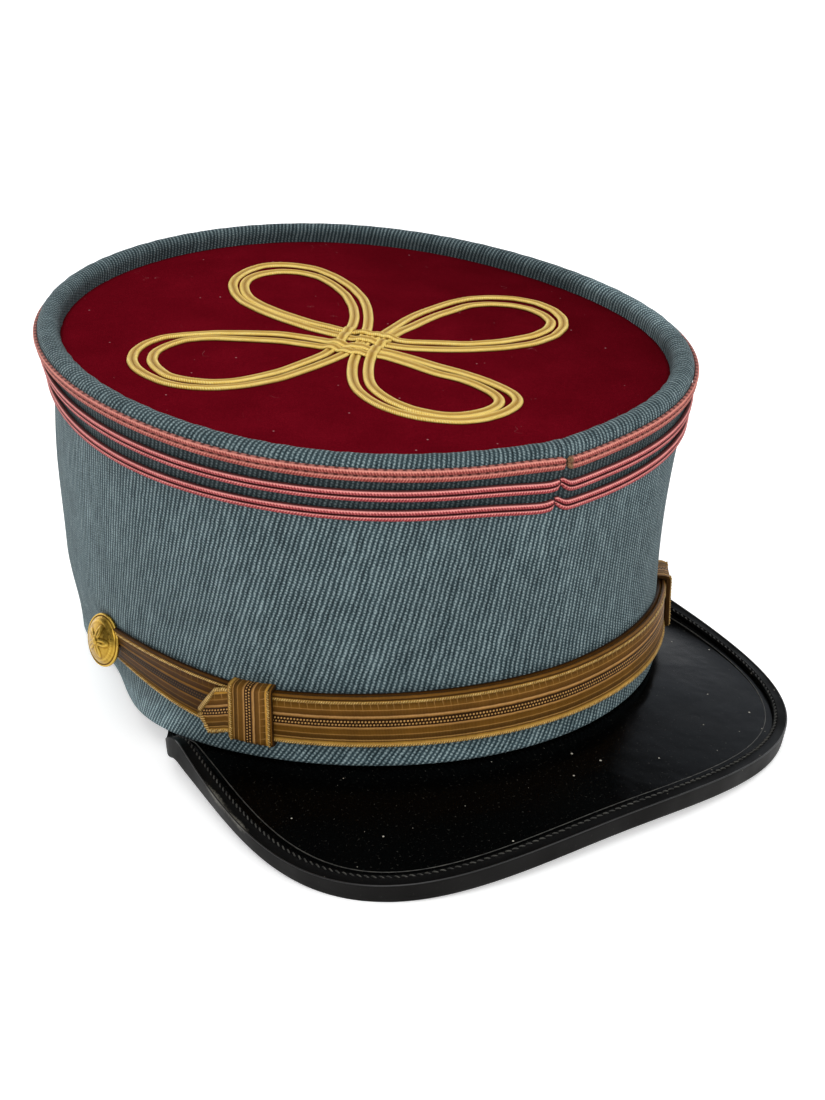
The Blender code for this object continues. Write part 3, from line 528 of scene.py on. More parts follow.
def makeBraidMaterial(name, light, middle, dark, groove, metallic, roughness, twist, slant, depth, span,
                      grooved, lined=0.0, shaded=0.0, edge=(0.90, 1.0), stitches=0.0, frayed=0.0):
    material, tree, surface = newMaterial(name, Roughness=roughness, Metallic=metallic, Specular_IOR_Level=0.2)
    uv = put(tree, "UVMap", uv_map="cloth")
    parts = put(tree, "SeparateXYZ", {0: uv}, output="X")
    side = put(tree, "SeparateXYZ", {0: uv}, output="Y")
    fold = put(tree, "Math", {0: side}, operation="ABSOLUTE")
    # threads run up each rib from the groove, like a plait's strands
    lay = put(tree, "Math", {0: fold, 1: slant, 2: parts}, operation="MULTIPLY_ADD")
    lay = ripple(tree, lay, twist)
    wide = put(tree, "Math", {0: side, 1: 1.5}, operation="MULTIPLY")
    place = put(tree, "CombineXYZ", {"X": parts, "Y": wide})
    hair = put(tree, "TexNoise", {"Vector": place, "Scale": 1.6, "Detail": 4.0, "Roughness": 0.8})
    slow = put(tree, "TexNoise", {"Vector": place, "Scale": 0.12, "Detail": 2.0})
    tone = summed(tree, -0.02, (lay, 0.32), (hair, 0.75), (slow, 0.25))
    if shaded:
        # painted light: each rib is painted pale along its upper flank as a highlight, and dull along its lower as
        # shade
        flank = put(tree, "Math", {0: side, 1: 1.0}, operation="ADD")
        flank = put(tree, "Math", {0: flank}, operation="FRACT")
        flank = put(tree, "MapRange", {"Value": flank, 1: 0.50, 2: 0.84, 3: -0.35, 4: 0.55}, **eased)
        tone = put(tree, "Math", {0: flank, 1: shaded, 2: tone}, operation="MULTIPLY_ADD")
    colour = put(tree, "ValToRGB", {"Fac": tone}, stops=((0.2, dark), (0.5, middle), (0.85, light)))
    # painted shade: the groove between the ribs and the cord's edges are darkened towards the groove colour
    inGroove = put(tree, "MapRange", {"Value": fold, 1: span[0], 2: span[1], 3: grooved, 4: 0.0},
                   **eased)
    edgeShade = put(tree, "MapRange", {"Value": fold, 1: edge[0], 2: edge[1], 3: 0.0, 4: 0.9}, **eased)
    shadeMask = put(tree, "Math", {0: inGroove, 1: edgeShade}, operation="MAXIMUM")
    if stitches:
        dash = put(tree, "Math", {0: parts, 1: 2 * math.pi / stitches}, operation="MULTIPLY")
        dash = put(tree, "Math", {0: dash}, operation="SINE")
        dash = put(tree, "MapRange", {"Value": dash, 1: -0.2, 2: 0.6, 3: 0.55, 4: 1.0})
        shadeMask = put(tree, "Math", {0: shadeMask, 1: dash}, operation="MULTIPLY")
    colour = put(tree, "Mix", {0: shadeMask, 6: colour, 7: toLinear(groove)}, **coloured)
    if lined:
        # here and there the groove opens into a thin dark line of painted shade
        thin = put(tree, "MapRange", {"Value": fold, 1: 0.05, 2: 0.13, 3: 1.0, 4: 0.0})
        opens = put(tree, "MapRange", {"Value": slow, 1: 0.42, 2: 0.56, 3: 0.0, 4: lined})
        opens = put(tree, "Math", {0: opens, 1: thin}, operation="MULTIPLY")
        colour = put(tree, "Mix", {0: opens, 6: colour, 7: toLinear("#51390f")}, **coloured)
    if frayed:
        # the first stitches have frayed to their brown core
        toneMask = put(tree, "MapRange", {"Value": parts, 1: frayed, 2: frayed * 0.6, 3: 0.0, 4: 1.0})
        core = put(tree, "ValToRGB", {"Fac": hair}, stops=((0.3, "#38231a"), (0.6, "#8a6648")))
        colour = put(tree, "Mix", {0: toneMask, 6: colour, 7: core}, **coloured)
    bumped = put(tree, "Math", {0: hair, 1: 0.5, 2: lay}, operation="MULTIPLY_ADD")
    bump = put(tree, "Bump", {"Strength": 0.8, "Distance": depth, "Height": bumped})
    wire(tree, surface, Base_Color=colour, Normal=bump)
    return material


# gilt thread braid: bright warm yellow on the ribs, with painted shade in brown in the groove and at the edges
goldCord = makeBraidMaterial("gilt_thread_cord", light="#fff09c", middle="#e8bb48", dark="#8f6a1f",
                             groove="#a67a2a", metallic=0.1, roughness=0.5, twist=0.62, slant=0.9, depth=0.0001,
                             span=(0.15, 0.85), grooved=0.8, edge=(0.96, 1.0), lined=0.35)
# the two cords follow each other round one closed line of four loops; (across, along) in mm on the top
knot = {
    "width": 2.9, "height": 0.8, "middle": (-3.0, -4.0), "soft": 1.6,
    "outer": (
        (-14.0, 54.0), (-10.4, 59.0), (-4.9, 63.1), (2.0, 65.6), (7.2, 64.6), (11.6, 62.0),
        (16.0, 57.1), (18.1, 48.1), (18.1, 38.5), (15.9, 27.8), (12.9, 20.2), (8.9, 12.5),
        (4.5, 5.5), (-1.1, -1.8), (-5.8, -6.4), (-10.7, -9.0), (-16.3, -11.5), (-23.2, -14.0),
        (-33.9, -17.2), (-43.2, -18.1), (-47.6, -17.8), (-53.3, -16.3), (-58.8, -12.4), (-62.1, -7.6),
        (-63.8, -0.8), (-64.3, 4.9), (-63.1, 11.3), (-59.7, 17.5), (-55.0, 21.6), (-48.8, 23.7),
        (-42.6, 22.3), (-34.9, 19.5), (-26.8, 15.6), (-19.4, 11.4), (-13.3, 4.6), (-9.9, 0.2),
        (-7.2, -5.4), (-4.8, -8.0), (-1.9, -9.8), (0.3, -12.6), (3.8, -19.7), (6.9, -27.4),
        (10.1, -33.3), (12.8, -40.2), (14.2, -46.0), (14.9, -50.9), (13.8, -55.2), (10.8, -58.0),
        (5.5, -60.2), (-1.0, -61.0), (-7.0, -59.8), (-11.6, -56.8), (-15.1, -53.7), (-17.9, -49.6),
        (-20.0, -44.0), (-20.6, -38.9), (-20.3, -33.2), (-18.9, -28.3), (-16.4, -22.9), (-12.8, -16.8),
        (-9.0, -11.6), (-6.4, -8.6), (-2.9, -4.9), (0.8, -2.9), (5.0, -1.2), (11.4, 2.9),
        (18.0, 7.1), (24.0, 10.1), (32.2, 12.9), (38.9, 14.8), (45.5, 15.8), (51.7, 14.4),
        (57.7, 10.9), (61.6, 4.4), (62.1, -3.6), (59.7, -11.4), (55.5, -17.5), (48.8, -22.3),
        (39.9, -24.4), (29.8, -23.0), (20.7, -20.2), (13.5, -16.8), (6.3, -12.3), (2.8, -8.3),
        (-0.5, -3.8), (-3.8, 0.6), (-4.9, 3.0), (-6.7, 6.2), (-9.7, 11.5), (-13.8, 22.4),
        (-15.9, 29.9), (-17.4, 39.4), (-16.5, 46.7)),
    "inner": (
        (-10.8, 52.7), (-7.4, 56.8), (-2.3, 59.2), (4.5, 59.2), (9.8, 56.2), (13.5, 50.2),
        (14.1, 41.9), (12.9, 32.5), (9.6, 22.6), (5.8, 15.0), (1.7, 9.0), (-3.0, 3.9),
        (-8.5, -1.3), (-12.7, -4.8), (-15.7, -7.0), (-20.5, -8.9), (-31.7, -12.9), (-41.3, -14.2),
        (-46.0, -14.4), (-51.6, -12.7), (-56.2, -8.7), (-59.3, -4.1), (-59.6, 3.1), (-58.6, 8.7),
        (-55.5, 14.1), (-51.2, 17.0), (-45.0, 19.0), (-38.9, 17.4), (-28.9, 11.3), (-21.8, 6.7),
        (-15.7, 0.2), (-12.1, -3.9), (-9.4, -9.4), (-6.7, -11.4), (-3.9, -13.1), (-1.7, -16.0),
        (1.4, -23.7), (4.1, -31.8), (7.6, -37.1), (9.3, -42.4), (10.3, -48.5), (9.6, -53.1),
        (6.8, -56.0), (2.3, -57.5), (-2.7, -57.6), (-6.9, -56.6), (-10.1, -54.4), (-14.1, -49.2),
        (-16.0, -43.3), (-16.4, -37.8), (-15.9, -32.6), (-14.2, -27.8), (-11.3, -22.4), (-7.4, -16.3),
        (-3.4, -11.6), (1.1, -7.5), (5.7, -4.0), (11.5, -0.5), (16.7, 1.5), (22.6, 4.3),
        (28.2, 6.6), (34.7, 8.3), (41.9, 10.4), (48.2, 9.2), (53.5, 5.6), (56.4, 0.4),
        (56.9, -6.0), (55.1, -12.4), (50.4, -17.0), (43.4, -19.5), (32.5, -19.0), (23.1, -16.6),
        (16.3, -12.3), (8.8, -8.2), (6.2, -4.0), (3.4, -0.5), (0.6, 3.0), (-2.7, 6.9),
        (-4.3, 10.5), (-7.5, 15.6), (-11.7, 26.5), (-13.7, 34.4), (-14.3, 41.4), (-13.2, 46.9)),
}


def closedCurve(spots, count):
    # an even, softened line through the spots, and its sideways direction
    ring = closed(spots)
    arc = lengthAlong(ring)
    place = np.arange(count) * arc[-1] / count
    line = np.stack([np.interp(place, arc, ring[:, k]) for k in (0, 1)], -1)
    kernel = np.exp(-(np.minimum(place, arc[-1] - place) / knot["soft"]) ** 2 / 2)
    blur = np.fft.rfft(kernel / kernel.sum())
    path = np.stack([np.fft.irfft(np.fft.rfft(line[:, k]) * blur, count) for k in (0, 1)], -1)
    ahead = unit(np.roll(path, -1, 0) - np.roll(path, 1, 0))
    return path, ahead


def stretchesOf(path):
    # which of the four runs through the middle each spot is on: 0 back to right, 1 right to front,
    # 2 front to left, 3 left to back, as the loops are followed round
    away = path - np.array(knot["middle"])
    x, y = away[:, 0], away[:, 1]
    inLoops = (y > np.abs(x), x < -np.abs(y), y < -np.abs(x), x > np.abs(y))
    tips = [int(np.where(inLoop, np.hypot(x, y), 0).argmax()) for inLoop in inLoops]
    past = (np.arange(len(path)) - tips[0]) % len(path)
    return sum((past >= (tip - tips[0]) % len(path)).astype(int) for tip in tips[1:])


def liesOver(run, inner, otherRun, otherInner):
    # how the weave in the middle goes, for the runs that cross: 0 and 2 with 1 and 3
    if run in (0, 2):
        return not liesOver(otherRun, otherInner, run, inner)
    if otherRun == 0:
        return run == 1 or not otherInner
    return not otherInner or (run == 3 and inner)


def makeKnot():
    count = 720
    section = twoRibSection(knot["width"], knot["height"])
    lines = [closedCurve(np.array(knot[name]), count) for name in ("outer", "inner")]
    runs = [stretchesOf(path) for path, _ in lines]
    lifts = np.zeros((2, count))
    pairs = [(a, p, b, q) for a in (0, 1) for b in (0, 1) for p in (0, 2) for q in (1, 3)]
    for cordA, runA, cordB, runB in pairs:
        spotsA, spotsB = np.flatnonzero(runs[cordA] == runA), np.flatnonzero(runs[cordB] == runB)
        gap = np.linalg.norm(lines[cordA][0][spotsA][:, None] - lines[cordB][0][spotsB][None], axis=-1)
        i, j = np.unravel_index(gap.argmin(), gap.shape)
        if gap[i, j] > 1.0:
            continue
        cosine = abs(float(lines[cordA][1][spotsA[i]] @ lines[cordB][1][spotsB[j]]))
        half = min(knot["width"] / 2 * (1 + cosine) / math.sqrt(max(1 - cosine ** 2, 0.05)) + 0.3, 4.2)
        over, spot = (cordA, spotsA[i]) if liesOver(runA, cordA == 1, runB, cordB == 1) else (cordB, spotsB[j])
        path = lines[over][0]
        near = np.linalg.norm(path - path[spot], axis=-1)
        sameRun = runs[over] == runs[over][spot]
        lifts[over] = np.maximum(lifts[over], np.where(sameRun, np.exp(-(near / half) ** 3), 0) * 0.72)
    cords = [(path, np.stack([-ahead[:, 1], ahead[:, 0]], -1)) for path, ahead in lines]
    built = []
    for cord, (path, normal) in enumerate(cords):
        length = lengthAlong(closed(path))
        base = crown["topLift"] + 0.05 + lifts[cord]
        # the strands roll a little from side to side as they lie
        roll = 0.12 * np.sin(length[:-1] / 19 + cord * 1.7)
        x = path[:, None, 0] + normal[:, None, 0] * section[:, 0]
        y = path[:, None, 1] + normal[:, None, 1] * section[:, 0]
        up = base[:, None] + section[:, 1] + roll[:, None] * section[:, 2] * (section[:, 1] > 0.1)
        points = topPoint(x, y, up)
        columns = len(section)
        sides = np.append(section[:, 2], section[0, 2])
        uv = np.stack(np.broadcast_arrays(length[:, None] + cord * 31.0, sides), -1)
        spots, uvSpots = gridFaces(count, columns, True, True)
        built.append((points.reshape(-1, 3), spots[:, ::-1], atCorners(uv, uvSpots[:, ::-1])))
    points, faces, uvs = joinMeshes(built)
    addPiece("gold_knot_cords", points, faces, uvs, goldCord, slot="gold_cord", replaces=["hungarian_knot"])


makeKnot()
print("knot made")

# coral soutache: silk over cotton with tiny running stitches, a painted highlight on each rib's upper flank,
# and painted shade in dark wine in the groove and at the edges
coralBraid = makeBraidMaterial("coral_soutache", light="#f09b95", middle="#a54346", dark="#6f1e23",
                               groove="#42070c", metallic=0.0, roughness=0.65, twist=0.74, slant=0.7,
                               depth=0.00008, span=(0.12, 0.30), grooved=1.0, shaded=0.62, edge=(0.80, 0.94))
# the top row has faded towards brown
fadedBraid = makeBraidMaterial("faded_soutache", light="#d88a7c", middle="#99453e", dark="#662320",
                               groove="#3c0b0c", metallic=0.0, roughness=0.65, twist=0.74, slant=0.7,
                               depth=0.00008, span=(0.08, 0.26), grooved=0.9, shaded=0.55, edge=(0.82, 0.95), stitches=2.3,
                               frayed=2.2)
braid = {"width": 2.8, "height": 1.2, "below": 1.4}
# the three rows in mm: how much wider, what is left open left and right of the seam, how far the joint is shifted,
# how far the start rises, how far the end flares up, and how far it sags before that, over what run
braidRows = (
    {"node": "braid_upper", "wider": 0.3, "open": (0.2, 0.35), "shift": 0.6, "start": 0.3, "flare": 0.0,
     "sag": 0.6, "sagRun": 9.0, "silk": fadedBraid},
    {"node": "braid_middle", "wider": 0, "open": (0.1, 0.1), "shift": 2.0, "start": 1.6, "flare": 0.6,
     "sag": 1.4, "sagRun": 14.0, "silk": coralBraid},
    {"node": "braid_lower", "wider": 0, "open": (0.1, 0.1), "shift": 3.3, "start": 1.6, "flare": 0.7,
     "sag": 1.6, "sagRun": 14.0, "silk": coralBraid})


def makeBraids():
    for row, own in enumerate(braidRows):
        section = twoRibSection(braid["width"] + own["wider"], braid["height"], underside=0.1)
        count = 900
        gaps = own["open"]
        share = np.linspace(0, 1, count)
        end = girthArc[-1] - gaps[0]
        close = np.linspace(0, 5, 24)[1:]  # more cuts beside the seam
        arc = np.sort(np.concatenate([gaps[1] + share * (end - gaps[1]), gaps[1] + close, end - close]))
        fromStart, fromEnd = arc - arc[0], arc[-1] - arc
        # the seam slants, so the lower rows break further to the wearer's right
        turns = turnsAt(arc - own["shift"])
        # near the seam the starts rise into line, and the ends sag and then flare up
        curl = own["start"] * np.exp(-(fromStart / 2.0) ** 1.6)
        curl += own["flare"] * np.exp(-(fromEnd / 1.8) ** 1.5)
        curl -= own["sag"] * np.exp(-(fromEnd / own["sagRun"]) ** 1.6)
        wander = 0.12 * np.sin(arc / 31 + row * 2.0) + 0.06 * np.sin(arc / 9.7 + row)
        height = wallHeight(turns)
        leftPart = (arc < girthArc[-1] / 2) * 1.0
        wander = wander * smooth(fromStart / 20) * smooth(fromEnd / 20)
        middle = height - rowDrop(turns, row, leftPart) - braid["below"] + curl + wander
        narrow = 1 - 0.35 * np.exp(-(fromStart / 0.5) ** 2) - 0.35 * np.exp(-(fromEnd / 0.5) ** 2)
        tuck = 0.5 * np.exp(-(fromStart / 0.5) ** 2) + 0.5 * np.exp(-(fromEnd / 0.5) ** 2)
        above = middle[:, None] + section[:, 0] * narrow[:, None]
        out = 0.12 + section[:, 1] * (1 - tuck[:, None])
        points = wallPoint(turns[:, None], above, out)
        sides = np.append(section[:, 2], section[0, 2])
        uv = np.stack(np.broadcast_arrays(arc[:, None] + row * 3.3, sides), -1)
        gridPiece(own["node"] + "_soutache", points, uv, own["silk"], wrapColumns=True, caps=True,
                  slot="coral_soutache", replaces=[own["node"]])


makeBraids()
print("braids made")


# gold lace
# woven gilt band: beaded thread at both edges, ribbed satin, and a double chain row down the middle
lace = {"width": 13.6, "thick": 1.0, "rib": 0.34, "chain": 0.82, "bead": 0.62, "pick": 1.9}
# (share across, colour, height): one column of the band from its upper edge to its lower
laceColumns = (
    (0.000, "#3b270c", 0.35), (0.012, "#6d4c1d", 0.60), (0.034, "#76541f", 0.60), (0.046, "#4a3312", 0.40),
    (0.078, "#3b270c", 0.20), (0.095, "#c79a45", 0.80), (0.135, "#c99c46", 0.80), (0.150, "#5b3f14", 0.35),
    (0.250, "#76541f", 0.50), (0.262, "#a98449", 0.72), (0.280, "#6d4c1d", 0.48), (0.372, "#553912", 0.38),
    (0.392, "#c9a06a", 0.88), (0.425, "#a17840", 0.80), (0.445, "#2c1a08", 0.15), (0.595, "#2f1c09", 0.15),
    (0.612, "#c0955c", 0.85), (0.640, "#94703a", 0.75), (0.655, "#664716", 0.45), (0.740, "#6c4c1a", 0.48),
    (0.757, "#a17d43", 0.70), (0.772, "#5c4015", 0.42), (0.845, "#46300f", 0.35), (0.862, "#b68f52", 0.80),
    (0.885, "#4c3410", 0.30), (0.905, "#8f6c2c", 0.60), (0.940, "#cba75a", 0.95), (0.975, "#b38c42", 0.90),
    (1.000, "#57400f", 0.30))


def makeLace(name, tint, chained=1.0):
    material, tree, surface = newMaterial(name, Metallic=0.2, Roughness=0.5, Specular_IOR_Level=0.1)
    uv = put(tree, "UVMap", uv_map="cloth")
    along = put(tree, "SeparateXYZ", {0: uv}, output="X")
    share = put(tree, "SeparateXYZ", {0: uv}, output="Y")
    ragged = put(tree, "TexNoise", {"Vector": uv, "Scale": 0.7, "Detail": 2.0})
    place = put(tree, "Math", {0: ragged, 1: 0.012, 2: share}, operation="MULTIPLY_ADD")
    place = put(tree, "Math", {0: place, 1: 0.006}, operation="SUBTRACT")
    colour = put(tree, "ValToRGB", {"Fac": place}, stops=[(at, tint) for at, tint, _ in laceColumns])
    height = put(tree, "ValToRGB", {"Fac": place}, stops=[(at, tall) for at, _, tall in laceColumns])
    # fine cross ribs over the whole band
    cross = ripple(tree, along, lace["rib"])
    # beads on the raised threads
    bead = put(tree, "Math", {0: share, 1: 40.0, 2: along}, operation="MULTIPLY_ADD")
    bead = ripple(tree, bead, lace["bead"])
    # two rows of dots, half a step apart
    inChain = None
    for centre, shift in ((0.492, 0.0), (0.555, 0.5)):
        x = put(tree, "Math", {0: along, 1: 1 / lace["chain"], 2: shift}, operation="MULTIPLY_ADD")
        x = put(tree, "Math", {0: x}, operation="FRACT")
        x = put(tree, "Math", {0: x, 1: 0.5}, operation="SUBTRACT")
        y = put(tree, "Math", {0: share, 1: centre}, operation="SUBTRACT")
        y = put(tree, "Math", {0: y, 1: lace["width"] / lace["chain"]}, operation="MULTIPLY")
        spot = put(tree, "CombineXYZ", {"X": x, "Y": y})
        far = put(tree, "VectorMath", {0: spot}, output="Value", operation="LENGTH")
        dot = put(tree, "MapRange", {"Value": far, 1: 0.40, 2: 0.18, 3: 0.0, 4: 1.0}, **eased)
        inChain = dot if inChain is None else put(tree, "Math", {0: inChain, 1: dot}, operation="MAXIMUM")
    # loose picks that drop from the upper thread line
    pick = put(tree, "Math", {0: share, 1: -3.0, 2: along}, operation="MULTIPLY_ADD")
    stray = put(tree, "TexNoise", {"Vector": uv, "Scale": 0.35, "Detail": 1.0})
    pick = put(tree, "Math", {0: stray, 1: 1.2, 2: pick}, operation="MULTIPLY_ADD")
    pick = put(tree, "Math", {0: pick, 1: 1 / lace["pick"]}, operation="MULTIPLY")
    pick = put(tree, "Math", {0: pick}, operation="FRACT")
    pick = put(tree, "MapRange", {"Value": pick, 1: 0.10, 2: 0.02, 3: 0.0, 4: 1.0})
    inSatin = put(tree, "MapRange", {"Value": share, 1: 0.13, 2: 0.30, 3: 0.8, 4: 0.0})
    above = put(tree, "Math", {0: share, 1: 0.11}, operation="GREATER_THAN")
    pick = put(tree, "Math", {0: pick, 1: inSatin}, operation="MULTIPLY")
    pick = put(tree, "Math", {0: pick, 1: above}, operation="MULTIPLY")
    inChain = put(tree, "Math", {0: inChain, 1: chained}, operation="MULTIPLY")
    lit = put(tree, "Math", {0: inChain, 1: pick}, operation="MAXIMUM")
    colour = put(tree, "Mix", {0: lit, 6: colour, 7: toLinear("#cda466")}, **coloured)
    wear = put(tree, "TexNoise", {"Vector": uv, "Scale": 0.16, "Detail": 3.0, "Roughness": 0.7})
    shine = put(tree, "Math", {0: cross, 1: bead}, operation="MULTIPLY")
    gain = summed(tree, 0.42, (shine, 0.55), (wear, 0.75))
    colour = put(tree, "VectorMath", {0: colour, "Scale": gain}, operation="SCALE")
    colour = put(tree, "VectorMath", {0: colour, 1: tint}, operation="MULTIPLY")
    raisedBy = put(tree, "Math", {0: height, 1: inChain}, operation="MAXIMUM")
    beads = put(tree, "Math", {0: bead, 1: height}, operation="MULTIPLY")
    raisedBy = summed(tree, raisedBy, (beads, 0.35), (cross, 0.10))
    bump = put(tree, "Bump", {"Strength": 0.9, "Distance": 0.00035, "Height": raisedBy})
    wire(tree, surface, Base_Color=colour, Normal=bump)
    return material


goldLace = makeLace("gilt_lace", tint=(1.20, 1.08, 0.92))
# painted shade: a darker copy of the gilt lace, with fewer chain dots, for the back strap, which lies in shade
shadedLace = makeLace("shaded_gilt_lace", tint=(0.50, 0.38, 0.12), chained=0.25)
strap = {"front": 13.6, "button": 22.6, "rise": 46.0, "buttonTurn": 86.0, "end": 7.5, "tail": 57.0,
         "taper": 54.6, "tip": 1.6, "shoulder": 13.2, "drop": (60.0, 67.0), "gap": 0.3, "fold": 3.6,
         "foldFrom": 54.0}
keeper = {"turns": (44.2, 51.9), "shear": 0.155, "perDegree": 1.49, "margin": 1.4, "thick": 1.0}


def strapHeight(turn):
    climb = (np.abs(turn) - strap["rise"]) / (strap["buttonTurn"] - strap["rise"])
    return strap["front"] + (strap["button"] - strap["front"]) * smooth(climb)


buttonReach = float(np.linalg.norm(wallPoint(np.array(strap["buttonTurn"]), strap["button"], 0.0)[:2]))
strapEndTurn = strap["buttonTurn"] + math.degrees(strap["end"] / buttonReach)


def strapFold(turn):
    # how much of the band's upper edge is gathered in towards the button
    return strap["fold"] * smooth((np.abs(turn) - strap["foldFrom"]) / 32.0)


def strapHalfWidth(turn, tailSide):
    pastButton = (np.abs(turn) - strap["buttonTurn"]) / (strapEndTurn - strap["buttonTurn"])
    half = np.full(np.shape(turn), lace["width"] / 2)
    pastTaper = np.clip((turn * tailSide - strap["taper"]) / (strap["tail"] - strap["taper"]), 0, 1)
    nearTail = smooth((turn * tailSide - 49.0) / (strap["taper"] - 49.0))
    half = half + (strap["shoulder"] - lace["width"]) / 2 * nearTail
    half = half + (strap["tip"] - strap["shoulder"]) / 2 * pastTaper
    half = half - strapFold(turn) / 2
    rounded = (lace["width"] - strap["fold"]) / 2 * np.sqrt(np.clip(1 - pastButton ** 2, 0.03, 1))
    return np.where((turn * tailSide < 0) & (pastButton > 0), rounded, half)


def strapMiddle(turn, tailSide):
    # the gathered end sits low, and the free tail droops
    tail = np.clip((turn * tailSide - 50.5) / 5.0, 0, 1)
    point = np.clip((turn * tailSide - strap["taper"]) / (strap["tail"] - strap["taper"]), 0, 1)
    return strapHeight(turn) - strapFold(turn) / 2 - 2.3 * smooth(tail) - 1.2 * point


def strapOut(turn, tailSide, over):
    if not over:
        return np.full(np.shape(turn), strap["gap"])
    first, last = strap["drop"]
    onTop = 1 - smooth((np.abs(turn) - first) / (last - first))
    onTop = np.where(turn * tailSide > 0, 1.0, onTop)
    return strap["gap"] + onTop * (lace["thick"] + strap["gap"])


def laceSection(across=25):
    # (share across from the lower edge, out): the face from its lower edge to its upper, then the back
    shares = np.linspace(0, 1, across)
    face = 0.90 + 0.10 * np.exp(-((np.minimum(shares, 1 - shares) - 0.04) / 0.03) ** 2)
    face = face + 0.10 * np.exp(-((shares - 0.47) / 0.10) ** 2)
    face[0] = face[-1] = 0.55
    section = [(share, out) for share, out in zip(shares, face)]
    return np.array(section + [(1.0, 0.1), (0.0, 0.1)])


def makeStraps():
    section = laceSection()
    for name, tailSide, over in (("strap_back", 1, False), ("strap_front", -1, True)):
        start, finish = sorted((-tailSide * strapEndTurn, tailSide * strap["tail"]))
        rounding = np.sin(np.linspace(0, math.pi / 2, 14))
        endTurns = -tailSide * (strap["buttonTurn"] + (strapEndTurn - strap["buttonTurn"]) * rounding)
        turns = np.unique(np.concatenate([np.linspace(start, finish, 260), endTurns]))
        arc = lengthAlong(wallPoint(turns, strapHeight(turns), 0))
        half = strapHalfWidth(turns, tailSide)[:, None]
        ripple = 0.10 * np.sin(arc / 6.1) + 0.08 * np.sin(arc / 15.0 + 1)
        shares = section[:, 0]
        above = strapMiddle(turns, tailSide)[:, None] + half * (2 * shares - 1)
        out = strapOut(turns, tailSide, over)[:, None] + section[:, 1] * lace["thick"] + (
            ripple[:, None] * 0.6 * (section[:, 1] > 0.3) * (0.5 + 0.5 * (not over)))
        points = wallPoint(turns[:, None], above, out)
        # the pattern runs straight, so the point and the round end cut through it
        cut = 0.5 - half * (2 * np.append(shares, 0.0) - 1) / (lace["width"] - strapFold(turns)[:, None])
        uv = np.stack(np.broadcast_arrays(arc[:, None], cut), -1)
        gridPiece(name + "_lace", points, uv, goldLace if over else shadedLace, wrapColumns=True, caps=True,
                  slot="gold_lace", replaces=[name], sharp=50)


makeStraps()


def tube(path, radius, sides=8, bead=0.0, pitch=0.8, outward=None):
    # a thin cord along a path, with beads if it is twisted thread
    path = np.asarray(path, float)
    ahead = unit(np.gradient(path, axis=0))
    lift = outward if outward is not None else np.array([0, 0, 1.0])
    side = unit(np.cross(ahead, lift))
    up = np.cross(side, ahead)
    arc = lengthAlong(path)
    angle = np.arange(sides) / sides * 2 * math.pi
    thick = radius * (1 + bead * np.cos(2 * math.pi * arc / pitch))  # radius may change along the cord
    points = path[:, None] + thick[:, None, None] * (
        np.cos(angle)[None, :, None] * side[:, None] + np.sin(angle)[None, :, None] * up[:, None])
    sidesAt = np.append(np.cos(angle), 1.0) * 0.5 + 0.5
    uv = np.stack(np.broadcast_arrays(arc[:, None], sidesAt), -1)
    spots, uvSpots = gridFaces(len(path), sides, False, True)
    return points.reshape(-1, 3), spots, atCorners(uv, uvSpots)


def makeEdgeThreads():
    # twisted gilt threads laid along the strap's edges, and round the tail's point
    material, tree, surface = newMaterial("gilt_edge_thread", Metallic=0.4, Roughness=0.4,
                                          Specular_IOR_Level=0.5)
    uv = put(tree, "UVMap", uv_map="cloth")
    along = put(tree, "SeparateXYZ", {0: uv}, output="X")
    side = put(tree, "SeparateXYZ", {0: uv}, output="Y")
    twist = put(tree, "Math", {0: side, 1: 0.5, 2: along}, operation="MULTIPLY_ADD")
    twist = ripple(tree, twist, lace["bead"])
    wear = put(tree, "TexNoise", {"Vector": uv, "Scale": 0.3, "Detail": 3.0})
    tone = summed(tree, -0.1, (wear, 0.7), (twist, 0.5))
    colour = put(tree, "ValToRGB", {"Fac": tone},
                 stops=((0.1, "#523812"), (0.45, "#a37a34"), (0.85, "#ecca7c")))
    bump = put(tree, "Bump", {"Strength": 0.9, "Distance": 0.00015, "Height": twist})
    wire(tree, surface, Base_Color=colour, Normal=bump)
    built = []
    for tailSide, over in ((1, False), (-1, True)):
        first, last = sorted((-tailSide * strap["buttonTurn"], tailSide * strap["tail"]))
        turns = np.linspace(first, last, 520)
        half = strapHalfWidth(turns, tailSide)
        out = strapOut(turns, tailSide, over) + lace["thick"] * 0.86
        isTail = smooth((turns * tailSide - 50.5) / 3.0)
        for edge, inset in ((1, 1.55 - 1.2 * isTail), (-1, 0.34)):
            path = wallPoint(turns, strapMiddle(turns, tailSide) + edge * (half - inset), out)
            outward = unit(path * [1, 1, 0])
            built.append(tube(path, 0.34 + 0.26 * isTail, 6, 0.30, lace["bead"] * 1.5, outward=outward))
    points, faces, uvs = joinMeshes(built)
    addPiece("strap_edge_threads", points, faces, uvs, material, slot="gold_lace")
    return material


edgeThread = makeEdgeThreads()
print("straps made")


